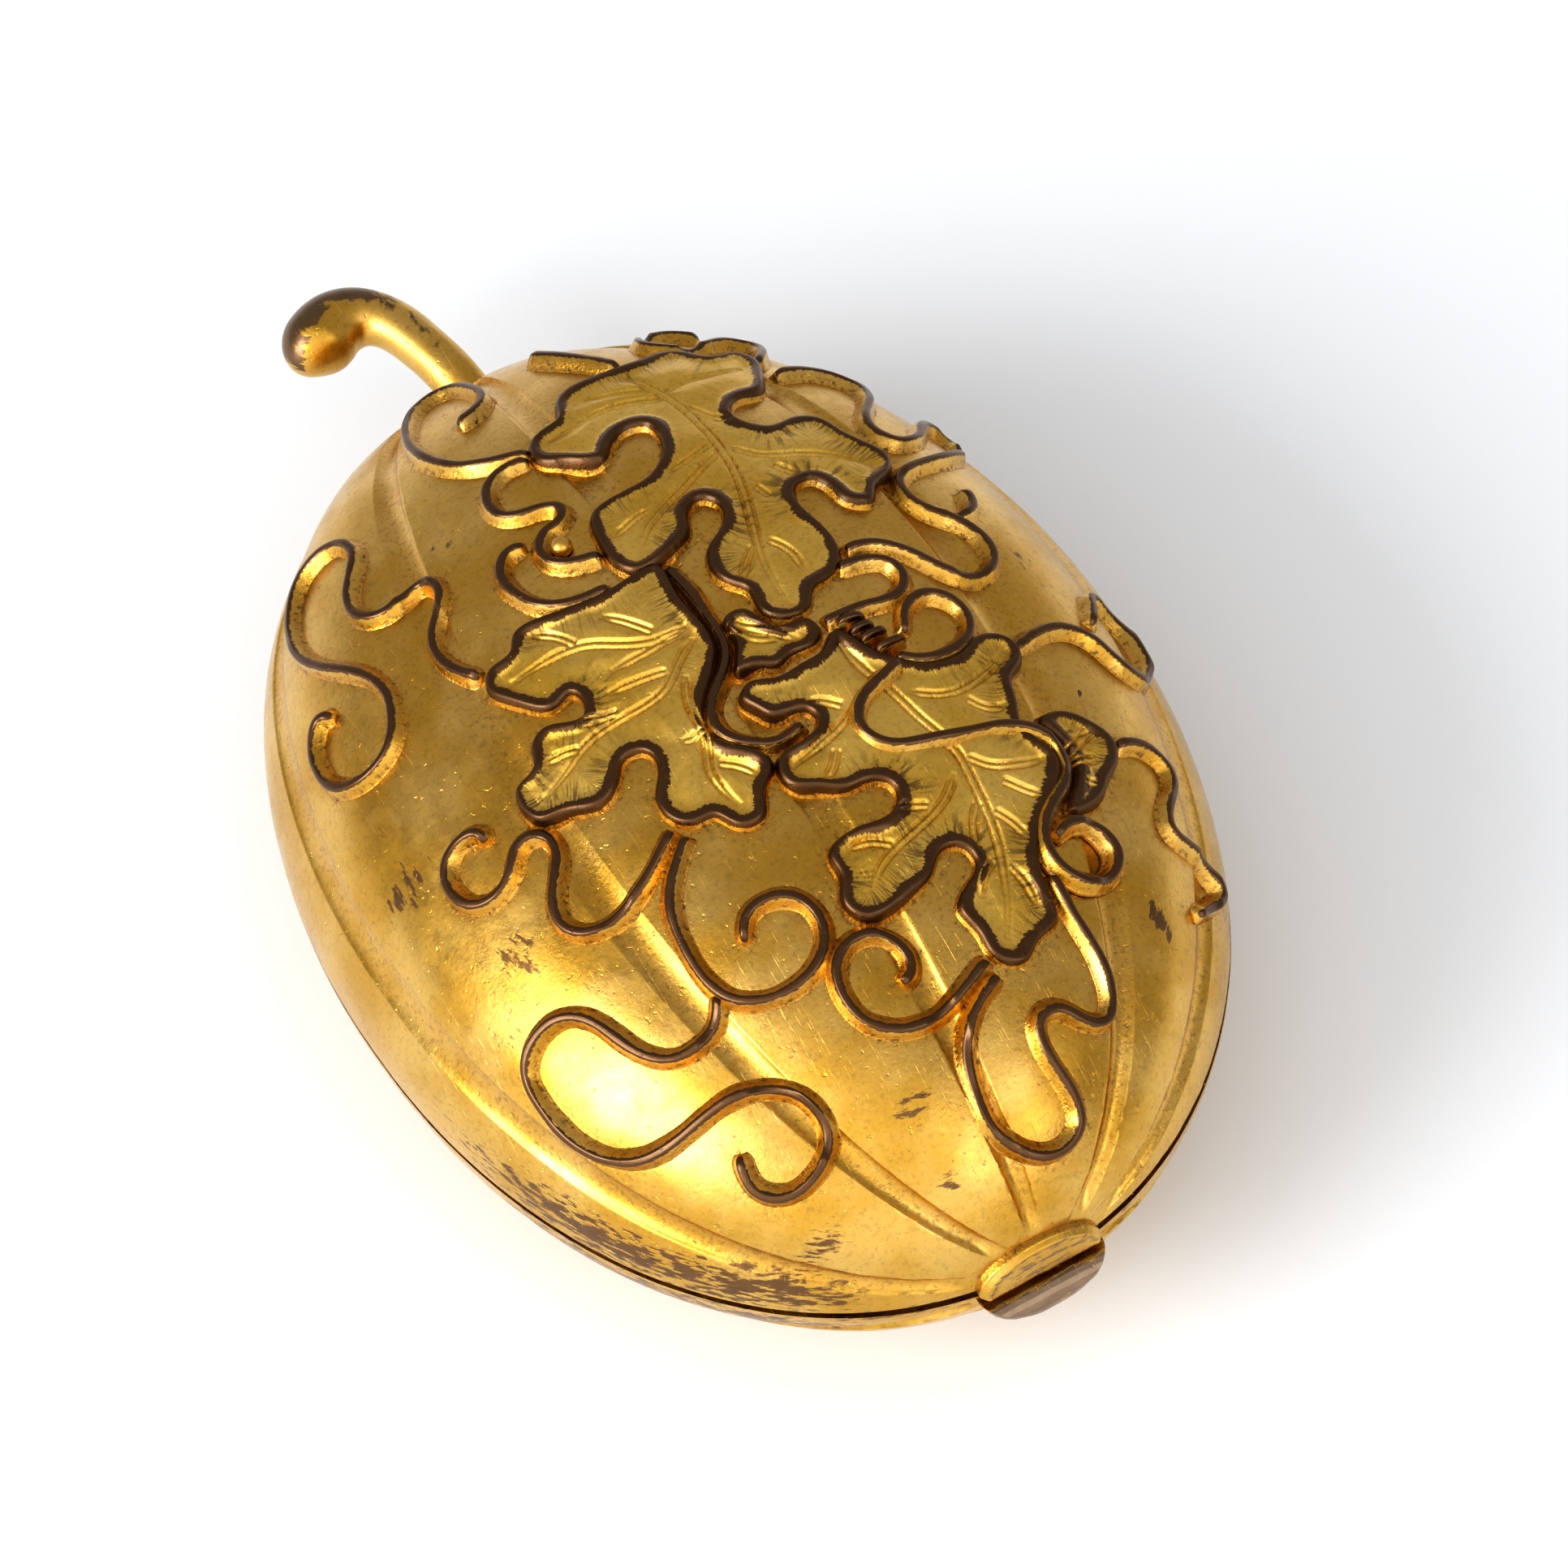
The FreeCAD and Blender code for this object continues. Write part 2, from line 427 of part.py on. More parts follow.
def make_hinge_leaf(name, places, side, bore, placement):
    """Hinge leaf: its knuckles, their tabs and a strap soldered inside the wall."""
    tubes, holes, tabs = [], [], []
    for place in places:
        tube, hole = knuckle(f"{name}_{place}", place, bore)
        tubes.append(tube)
        holes.append(hole)
        tabs.append(knuckle_tab(f"{name}_{place}", place, side))
    strap = doc.addObject("Part::Box", name + "_strap")
    bind(strap, Length="sizes.barrel_length", Width="sizes.leaf_gauge",
         Height="sizes.leaf_drop - sizes.leaf_start",
         Placement__Base__x="-sizes.barrel_length / 2",
         Placement__Base__y="sizes.half_length - sizes.hinge_setback - sizes.barrel_radius - sizes.leaf_gauge",
         Placement__Base__z="sizes.leaf_start" if side > 0 else "-sizes.leaf_start")
    lean = size("leaf_lean") if side > 0 else 180.0 - size("leaf_lean")
    strap.Placement.Rotation = Rotation(Vector(1, 0, 0), lean)
    if side < 0:
        bind(strap, Placement__Base__y="sizes.half_length - sizes.hinge_setback - sizes.barrel_radius")
    metal = fuse(name + "_metal", tubes + tabs + [strap])
    drill = fuse(name + "_drill", holes) if len(holes) > 1 else holes[0]
    leaf = boolean("Part::Cut", name, metal, drill)
    leaf.Placement = placement
    return leaf


def make_hinge_pin():
    """Pin through all five knuckles, held in the base's."""
    pin = doc.addObject("Part::Cylinder", "hinge_pin")
    pin.Label = "hinge_pin"
    bind(pin, Radius="sizes.pin_radius", Height="sizes.barrel_length")
    pin.Placement.Rotation = Rotation(Vector(0, 1, 0), 90)
    bind(pin, Placement__Base__x="-sizes.barrel_length / 2",
         Placement__Base__y="sizes.half_length - sizes.hinge_setback",
         Placement__Base__z="sizes.base_depth - sizes.foot_inset")
    return pin


# ---------------------------------------------------------------- boss, stem and catch

def make_boss(name, side, reach, height, skin, placement):
    """Half of the blossom boss, its front worn flat and its back fitted to the shell."""
    bud = doc.addObject("Part::Ellipsoid", name + "_bud")
    bind(bud, Radius1=height, Radius2="sizes.boss_half_width", Radius3=f"{reach} + sizes.boss_root")
    bud.Angle1 = 0 if side > 0 else -90
    bud.Angle2 = 90 if side > 0 else 0
    bind(bud, Placement__Base__y="sizes.boss_root - sizes.half_length",
         Placement__Base__z="sizes.seam_gap" if side > 0 else "-sizes.seam_gap")
    worn = doc.addObject("Part::Box", name + "_worn")
    bind(worn, Length="20", Width="10", Height="20", Placement__Base__x="-10", Placement__Base__z="-10",
         Placement__Base__y=f"-sizes.half_length - {reach} + sizes.boss_flat - 10")
    trimmed = boolean("Part::Cut", name + "_trimmed", bud, worn)
    boss = boolean("Part::Cut", name, trimmed, skin)
    boss.Placement = placement
    return boss


def make_stem(skin):
    """Curled stem: a round section swept from the thick root to the knob."""
    curve = Part.BSplineCurve()
    curve.interpolate([Vector(*point) for point in STEM])
    spine = add_shape("stem_spine", curve.toShape(), Placement())
    rings = []
    for name, end in (("root", curve.FirstParameter), ("tip", curve.LastParameter)):
        ring = doc.addObject("Part::Circle", f"stem_ring_{name}")
        bind(ring, Radius=f"sizes.stem_{name}_radius")
        heading = Rotation(Vector(0, 0, 1), curve.tangent(end)[0])
        ring.Placement = Placement(curve.value(end), heading)
        rings.append(ring)
    rod = doc.addObject("Part::Sweep", "stem_rod")
    rod.Sections = rings
    rod.Spine = (spine, ["Edge1"])
    rod.Solid = True
    knob = doc.addObject("Part::Sphere", "stem_knob")
    bind(knob, Radius="sizes.knob_radius")
    knob.Placement = Placement(Vector(*STEM_KNOB), Rotation(Vector(0, 0, 1), 180))
    whole = fuse("stem_whole", [rod, knob])
    stem = boolean("Part::Cut", "stem", whole, skin)
    stem.Placement = lift()
    return stem


def make_catch_tongue():
    """Springy tongue on the base that rubs on the lid's lug."""
    tongue = doc.addObject("Part::Box", "catch_tongue")
    tongue.Label = "catch_tongue"
    bind(tongue, Length="sizes.tongue_width", Width="sizes.tongue_gauge", Height="sizes.tongue_height",
         Placement__Base__x="-sizes.tongue_width / 2",
         Placement__Base__y="sizes.tongue_setback - sizes.half_length",
         Placement__Base__z="sizes.base_depth - sizes.foot_inset - sizes.tongue_height / 2")
    return tongue


def make_catch_lug():
    """Lug on the inside of the lid, in front of the tongue."""
    lug = doc.addObject("Part::Box", "catch_lug")
    lug.Label = "catch_lug"
    bind(lug, Length="sizes.tongue_width", Width="sizes.lug_size - sizes.catch_play", Height="sizes.lug_size")
    front = size("tongue_setback") - size("lug_size") - size("half_length")
    seat = Placement(Vector(-size("tongue_width") / 2, front, size("lug_start")), Rotation())
    lug.Placement = lid_swing().multiply(seat)
    return lug


# ---------------------------------------------------------------- the applied vine

def smooth_curve(points, closed=False):
    """Plan curve drawn smoothly through hand-placed points."""
    curve = Part.BSplineCurve()
    curve.interpolate([Vector(x, y, 0) for x, y in points], PeriodicFlag=closed)
    return curve


def wire_solid(points, half_width, rise):
    """Round-topped wire laid along the lid: flat-footed sections lofted along the plan curve."""
    curve = smooth_curve(points)
    count = max(6, int(curve.length() / 0.9))
    sections = []
    for step in range(count + 1):
        spot = curve.parameterAtDistance(curve.length() * step / count)
        plan = curve.value(spot)
        foot, normal = lid_skin(plan.x, plan.y)
        heading = Vector(*curve.tangent(spot)[0])
        side = normal.cross(heading).normalize()
        taper = 0.8 if step in (0, count) else 1.0
        foot = foot + normal * size("solder_film")
        left = foot + side * half_width * taper
        right = foot - side * half_width * taper
        crown = foot + normal * rise * taper
        arch = Part.Arc(left, crown, right).toShape()
        sections.append(Part.Wire([arch, Part.makeLine(right, left)]))
    return Part.makeLoft(sections, True, False)


def make_tendril(name):
    """One tendril; the vine's stalk is a stouter wire."""
    stout = 1.2 if name == "vine_stalk" else 1.0
    solid = wire_solid(TENDRILS[name], size("wire_half_width") * stout, size("wire_rise"))
    return add_shape(name, solid, lid_swing())


def make_leaf(name, skin, foil):
    """Lobed foil on the lid: its outline cut out of a skin of even thickness."""
    outline = Part.Wire(smooth_curve(LEAVES[name], closed=True).toShape())
    cutter = Part.Face(outline).extrude(Vector(0, 0, 60))
    layer = foil.common(cutter).cut(skin)
    return add_shape(name, layer, lid_swing())


def make_bead(skin):
    """Cast bead sunk a little into the lid and trimmed to its skin."""
    foot, normal = lid_skin(*BEAD)
    ball = Part.makeSphere(size("bead_radius"), foot + normal * size("bead_stand"))
    return add_shape("bead_crook", ball.cut(skin), lid_swing())


def make_binding():
    """Turns of fine wire that bind the lower leaf's stalk, as one piece of separate turns."""
    turns = []
    for start, end in BINDING:
        middle = ((start[0] + end[0]) / 2, (start[1] + end[1]) / 2)
        turns.append(wire_solid((start, middle, end), size("binding_half_width"), size("binding_rise")))
    return add_shape("stalk_binding", Part.makeCompound(turns), lid_swing())


# ---------------------------------------------------------------- build

def build():
    """Make every sub-part and return the list that is written out."""
    lid_skin_solid = melon_half(size("lid_rise"))
    base_skin_solid = melon_half(-size("base_depth"))
    foil_solid = melon_half(size("lid_rise"), size("foil_thick"))
    lid_form = add_shape("lid_form", lid_skin_solid, Placement())
    base_form = add_shape("base_form", base_skin_solid, Placement())
    parts = [
        make_base_shell(),
        make_lid_shell(),
        make_base_bezel(),
        make_hinge_leaf("hinge_base_leaf", (0, 2, 4), -1, "sizes.pin_radius + sizes.pin_fit", lift()),
        make_hinge_leaf("hinge_lid_leaf", (1, 3), 1, "sizes.pin_radius + sizes.pin_play", lid_swing()),
        make_hinge_pin(),
        make_boss("boss_upper", 1, "sizes.boss_upper_reach", "sizes.boss_rise", lid_form, lid_swing()),
        make_boss("boss_lower", -1, "sizes.boss_lower_reach", "sizes.boss_drop", base_form, lift()),
        make_stem(base_form),
        make_catch_tongue(),
        make_catch_lug(),
        make_binding(),
    ]
    parts += [make_tendril(name) for name in TENDRILS]
    parts += [make_leaf(name, lid_skin_solid, foil_solid) for name in LEAVES]
    parts.append(make_bead(lid_skin_solid))
    return parts


def write(parts):
    """Check every sub-part and write one file each."""
    os.makedirs("parts", exist_ok=True)
    for item in doc.Objects:
        if "Invalid" in item.State or "Error" in item.State:
            raise RuntimeError(f"{item.Label}: {item.State}")
    for item in parts:
        if item.Shape.isNull() or not item.Shape.isValid() or item.Shape.Volume <= 0:
            raise RuntimeError(f"{item.Label} is not a sound solid")
    for item in parts:
        item.Shape.exportStep(f"parts/{item.Label}.step")


sub_parts = build()
doc.recompute()
write(sub_parts)
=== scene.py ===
import json
import logging
import math
from dataclasses import dataclass, field, replace
from enum import Enum
from typing import Dict, Optional, Sequence, Tuple, Union

import bmesh
import bpy
import numpy as np
from mathutils import Matrix, Vector


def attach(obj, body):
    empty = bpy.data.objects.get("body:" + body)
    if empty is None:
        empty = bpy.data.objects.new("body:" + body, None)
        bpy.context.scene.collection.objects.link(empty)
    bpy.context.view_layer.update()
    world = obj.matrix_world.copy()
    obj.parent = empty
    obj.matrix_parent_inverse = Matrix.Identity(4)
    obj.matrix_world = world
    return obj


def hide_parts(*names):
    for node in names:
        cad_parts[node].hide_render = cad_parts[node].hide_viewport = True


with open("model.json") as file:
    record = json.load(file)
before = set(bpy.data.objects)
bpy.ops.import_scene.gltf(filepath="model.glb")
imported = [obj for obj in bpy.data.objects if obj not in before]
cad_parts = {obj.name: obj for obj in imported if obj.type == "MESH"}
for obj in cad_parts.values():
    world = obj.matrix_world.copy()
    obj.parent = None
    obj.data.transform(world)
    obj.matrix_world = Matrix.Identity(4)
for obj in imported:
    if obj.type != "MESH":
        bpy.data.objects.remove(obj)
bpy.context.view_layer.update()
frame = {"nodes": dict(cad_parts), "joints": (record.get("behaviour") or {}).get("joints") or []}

# Looks of a gilt needle case: a fluted melon that opens on a hinge behind its stem, with an applied vine.
# Shapes are worked out in millimetres about the middle of the seam (X across, Y from blossom to stem, Z up)
# and then placed in the frame, in metres.

LOG = logging.getLogger("needle_case")

# Metres in a millimetre, where the hinge's axis runs, how far the lid stands ajar, and the gap below its rim.
MM = 0.001
HINGE = frame["joints"][0]["pos_m"]
SEAM_HEIGHT = HINGE[2] / MM
HINGE_ALONG = HINGE[1] / MM
LID_AJAR = math.radians(0.4)
SEAM_GAP = 0.15

Points = Sequence[Tuple[float, float]]
Array = np.ndarray
Colour = Tuple[float, float, float]
Socket = bpy.types.NodeSocket
Number = Union[Socket, float]

# Middle of each tendril, seen from above, as the points that a smooth curve is drawn through.
TENDRILS: Dict[str, Points] = {
    "vine_stalk": ((3.9, 34.4), (5.2, 32.3), (6.6, 30.1), (7.8, 28.0)),
    "tendril_stem_curl": (
        (-3.4, 30.3), (-1.9, 30.7), (-0.7, 32.0), (-0.6, 34.2), (-1.6, 36.3), (-3.1, 36.6), (-4.7, 35.6),
        (-6.0, 33.4), (-6.6, 30.6), (-6.2, 27.8), (-4.9, 25.5), (-3.0, 24.2), (-0.9, 23.5)),
    "tendril_crook": (
        (-1.3, 22.8), (-3.0, 23.1), (-4.6, 22.4), (-5.4, 20.6), (-5.0, 19.0), (-3.9, 18.3), (-2.6, 17.9),
        (-1.8, 17.1), (-2.3, 16.2), (-3.6, 15.8), (-4.5, 14.9), (-4.5, 13.5), (-3.5, 12.4), (-1.4, 11.8)),
    "tendril_cradle": (
        (-5.1, 15.9), (-6.5, 15.9), (-7.5, 14.8), (-7.5, 12.6), (-6.6, 10.6), (-5.0, 9.4), (-2.2, 9.0)),
    "tendril_left_long": (
        (-12.4, 8.8), (-13.4, 10.8), (-13.7, 12.9), (-12.9, 14.9), (-11.6, 16.2), (-11.2, 17.5),
        (-12.0, 18.8), (-13.3, 18.7), (-14.6, 18.5), (-15.8, 19.4), (-16.1, 21.2), (-15.1, 23.3),
        (-13.9, 25.2), (-14.2, 27.5), (-15.9, 28.2), (-18.0, 27.2), (-19.6, 24.4), (-20.1, 21.3),
        (-19.3, 18.3), (-18.1, 15.8), (-17.5, 13.0), (-18.1, 10.6), (-19.7, 8.9), (-21.6, 8.9),
        (-23.1, 10.4), (-23.3, 12.8), (-22.5, 14.9), (-21.5, 15.6), (-20.9, 15.0)),
    "tendril_left_short": (
        (-17.7, -1.8), (-17.8, -0.9), (-19.1, -0.4), (-20.5, -1.2), (-20.9, -3.0), (-20.1, -4.8),
        (-18.7, -5.3), (-17.3, -4.6), (-16.2, -3.6), (-15.0, -3.7), (-14.4, -4.9), (-15.0, -6.6),
        (-16.1, -8.2), (-16.5, -9.9), (-15.4, -11.6), (-13.6, -12.0), (-11.2, -11.4), (-7.7, -9.4)),
    "tendril_centre_spiral": (
        (-7.1, -10.3), (-8.9, -11.8), (-10.3, -13.6), (-10.9, -16.0), (-10.9, -18.6), (-10.1, -20.8),
        (-8.2, -22.2), (-5.8, -22.5), (-3.7, -21.6), (-2.8, -19.8), (-3.3, -17.9), (-4.9, -16.9),
        (-6.6, -17.1), (-7.6, -18.5)),
    "tendril_front_sweep": (
        (-10.7, -20.0), (-11.6, -21.3), (-13.2, -21.9), (-14.9, -21.5), (-16.2, -20.2), (-17.2, -18.0),
        (-18.2, -15.8), (-19.5, -14.6), (-21.1, -14.3), (-22.5, -15.0), (-22.9, -17.0), (-22.4, -20.0),
        (-21.1, -22.6), (-18.9, -24.6), (-16.4, -25.3), (-13.2, -25.6), (-10.7, -26.7), (-9.0, -28.9),
        (-9.2, -31.0), (-11.0, -31.9), (-13.1, -31.5), (-14.4, -29.9), (-14.2, -28.3)),
    "tendril_front_curl": (
        (-0.4, -25.7), (0.6, -25.2), (0.9, -23.9), (-0.1, -22.3), (-1.7, -21.9), (-3.3, -22.7),
        (-4.0, -24.7), (-3.4, -26.8), (-1.6, -28.1), (0.8, -28.3), (3.2, -27.5), (5.3, -26.6)),
    "tendril_front_loop": (
        (5.4, -27.7), (3.2, -28.8), (1.3, -30.7), (0.5, -33.2), (0.6, -35.5), (2.0, -36.9), (4.2, -37.1),
        (5.8, -36.1), (5.9, -34.2), (5.7, -32.4), (6.3, -30.9), (7.8, -30.7), (9.0, -31.7), (10.3, -32.0),
        (11.5, -30.8), (12.0, -28.4), (11.8, -25.6), (11.9, -23.0)),
    "tendril_leaf_crossing": (
        (10.9, -5.9), (8.6, -6.9), (6.7, -8.1), (6.1, -9.8), (7.1, -11.4), (9.4, -12.1), (12.2, -12.5),
        (15.0, -12.9), (16.8, -14.2), (16.9, -16.2), (15.2, -18.1), (13.1, -20.0), (12.4, -22.0),
        (13.4, -23.9), (15.3, -24.1), (16.7, -22.7), (16.5, -20.8), (14.9, -20.2), (13.4, -20.9)),
    "tendril_mid_vine": (
        (1.5, 8.6), (1.9, 6.0), (1.9, 3.0), (1.6, 0.4), (0.1, -1.6), (-1.4, -3.3), (-1.7, -5.2),
        (-0.5, -6.8), (1.2, -7.5), (3.2, -7.3)),
    "tendril_right_sweep": (
        (12.2, 4.0), (14.1, 3.8), (15.9, 2.5), (17.2, 0.8), (18.6, -0.3), (20.2, -0.2), (21.3, 1.3),
        (21.2, 3.5), (20.0, 5.5), (18.9, 7.4), (19.1, 9.6), (20.7, 10.6), (23.0, 11.4), (24.9, 12.6)),
    "tendril_back_loop": (
        (25.2, 13.6), (25.2, 15.2), (24.4, 16.3), (23.2, 15.3), (22.2, 13.7), (20.8, 13.3), (19.8, 14.6),
        (20.1, 16.7), (21.3, 18.9), (21.3, 21.4), (19.5, 23.0), (16.8, 23.3)),
    "tendril_side_bud": ((20.9, 5.1), (21.7, 5.4), (22.4, 6.4), (22.4, 7.8)),
    "tendril_back_curl": (
        (15.0, 31.6), (13.1, 33.0), (11.0, 32.2), (10.8, 30.4), (12.4, 29.3), (14.6, 29.4), (16.6, 29.4),
        (17.6, 27.9), (17.1, 26.2), (16.4, 25.1)),
    "tendril_knot_loop": (
        (11.0, 2.7), (12.7, 2.7), (14.3, 1.9), (14.5, 0.4), (13.4, -0.8), (11.0, -0.9), (8.0, -1.1)),
    "tendril_wrap_loop": (
        (12.3, -3.9), (13.4, -2.0), (15.0, -1.3), (16.5, -2.2), (16.8, -3.9), (15.8, -5.5), (13.9, -6.3),
        (12.0, -6.1), (10.8, -5.2)),
    "tendril_right_wave": (
        (18.7, -6.8), (20.4, -6.0), (22.4, -5.7), (24.0, -6.8), (24.8, -8.4), (26.0, -9.1), (27.2, -7.9),
        (27.8, -5.4), (27.2, -2.8), (26.4, -2.1), (25.6, -3.4), (24.8, -5.0)),
    "tendril_right_hook": (
        (20.9, -15.2), (22.4, -15.1), (23.6, -16.3), (23.2, -18.0), (21.8, -19.8), (21.4, -21.4),
        (22.8, -22.4), (23.1, -23.7), (22.1, -25.1), (20.2, -26.3)),
}

# Lobed outline of each vine leaf, seen from above, drawn as a closed smooth curve.
LEAVES: Dict[str, Points] = {
    "leaf_upper": (
        (7.8, 28.1), (5.5, 28.0), (3.9, 27.9), (2.5, 26.8), (1.8, 25.3), (0.4, 24.9), (-0.9, 23.8),
        (-0.9, 22.0), (0.4, 20.8), (1.3, 20.0), (2.6, 19.6), (3.5, 20.5), (5.2, 21.4), (6.5, 20.9),
        (6.6, 18.9), (5.4, 16.9), (3.9, 16.0), (1.4, 15.9), (-0.5, 15.2), (-1.1, 13.2), (-1.2, 10.6),
        (-0.4, 9.1), (1.2, 8.9), (2.9, 9.5), (4.1, 10.2), (4.9, 11.9), (6.1, 12.5), (7.0, 11.4),
        (6.3, 9.5), (4.7, 8.3), (3.9, 6.4), (4.3, 4.9), (5.1, 3.7), (5.0, 1.8), (6.0, 0.5), (7.8, 0.6),
        (8.8, 1.9), (10.4, 2.4), (11.8, 4.0), (11.9, 6.4), (11.5, 9.0), (12.2, 10.7), (13.4, 10.9),
        (14.2, 9.7), (14.7, 8.1), (16.0, 7.6), (17.0, 8.9), (18.5, 9.9), (19.3, 11.6), (18.6, 13.3),
        (17.8, 14.6), (16.9, 16.6), (15.2, 17.2), (13.4, 16.8), (12.2, 17.7), (11.8, 19.4), (12.8, 20.6),
        (14.6, 20.9), (15.9, 22.9), (16.4, 25.1), (15.3, 26.8), (13.6, 26.6), (12.7, 27.7), (10.8, 28.5),
        (9.2, 28.2)),
    "leaf_left": (
        (1.2, 8.7), (-1.8, 8.8), (-5.0, 9.1), (-7.5, 9.8), (-9.2, 9.7), (-10.0, 8.7), (-11.6, 8.6),
        (-12.5, 7.3), (-11.9, 5.7), (-10.9, 4.1), (-9.6, 3.1), (-8.4, 3.3), (-7.9, 2.2), (-8.5, 1.2),
        (-9.5, 1.5), (-10.9, 2.2), (-12.2, 1.6), (-12.8, 0.3), (-14.3, -0.1), (-14.9, -1.7),
        (-14.2, -3.5), (-12.6, -4.1), (-10.8, -5.0), (-9.1, -4.4), (-7.9, -3.2), (-6.5, -3.6),
        (-6.3, -5.1), (-7.4, -6.8), (-7.4, -8.8), (-6.2, -9.9), (-5.1, -10.1), (-4.0, -11.7),
        (-2.4, -11.9), (-1.4, -10.3), (-0.2, -9.2), (-0.1, -8.2), (-1.5, -6.4), (-2.4, -4.6), (-1.9, -3.0),
        (-0.4, -1.3), (1.1, 0.6), (1.3, 3.5), (1.2, 6.5)),
    "leaf_small": (
        (2.6, 2.4), (4.0, 2.5), (4.6, 1.4), (5.4, 0.0), (7.1, -0.2), (7.5, -1.4), (6.5, -2.3), (5.0, -2.3),
        (3.8, -2.6), (2.4, -2.0), (1.3, -1.8), (1.8, -0.6), (2.4, 0.7)),
    "leaf_lower": (
        (8.3, -1.9), (7.0, -2.9), (5.2, -3.3), (3.2, -3.4), (1.5, -2.8), (0.5, -3.6), (0.9, -4.9),
        (1.6, -6.0), (3.8, -6.6), (4.0, -7.6), (2.2, -8.4), (0.5, -8.7), (-0.1, -9.9), (0.2, -11.2),
        (1.5, -12.0), (3.2, -12.9), (5.0, -13.1), (5.9, -14.2), (5.2, -15.5), (3.4, -15.7), (1.5, -15.5),
        (-0.2, -16.5), (-0.3, -18.0), (-1.0, -19.4), (-0.4, -21.1), (1.2, -21.5), (3.2, -21.0),
        (4.8, -20.4), (6.1, -19.3), (7.6, -19.5), (7.9, -20.9), (6.5, -22.0), (5.3, -23.2), (5.6, -25.0),
        (5.7, -26.6), (7.2, -27.5), (8.8, -26.6), (10.6, -25.8), (11.1, -23.6), (12.0, -21.2),
        (13.7, -19.2), (15.8, -17.2), (16.6, -15.2), (15.7, -13.2), (16.3, -11.0), (17.0, -9.2),
        (18.5, -7.9), (18.5, -6.2), (16.8, -5.5), (14.6, -6.6), (12.4, -6.6), (10.6, -5.4), (9.4, -3.6)),
    "leaf_side": (
        (17.1, -12.7), (18.4, -12.2), (20.1, -13.3), (20.9, -14.9), (20.3, -16.4), (18.9, -17.8),
        (17.4, -19.2), (15.4, -19.4), (16.7, -17.6), (17.6, -15.6), (17.2, -13.9)),
}

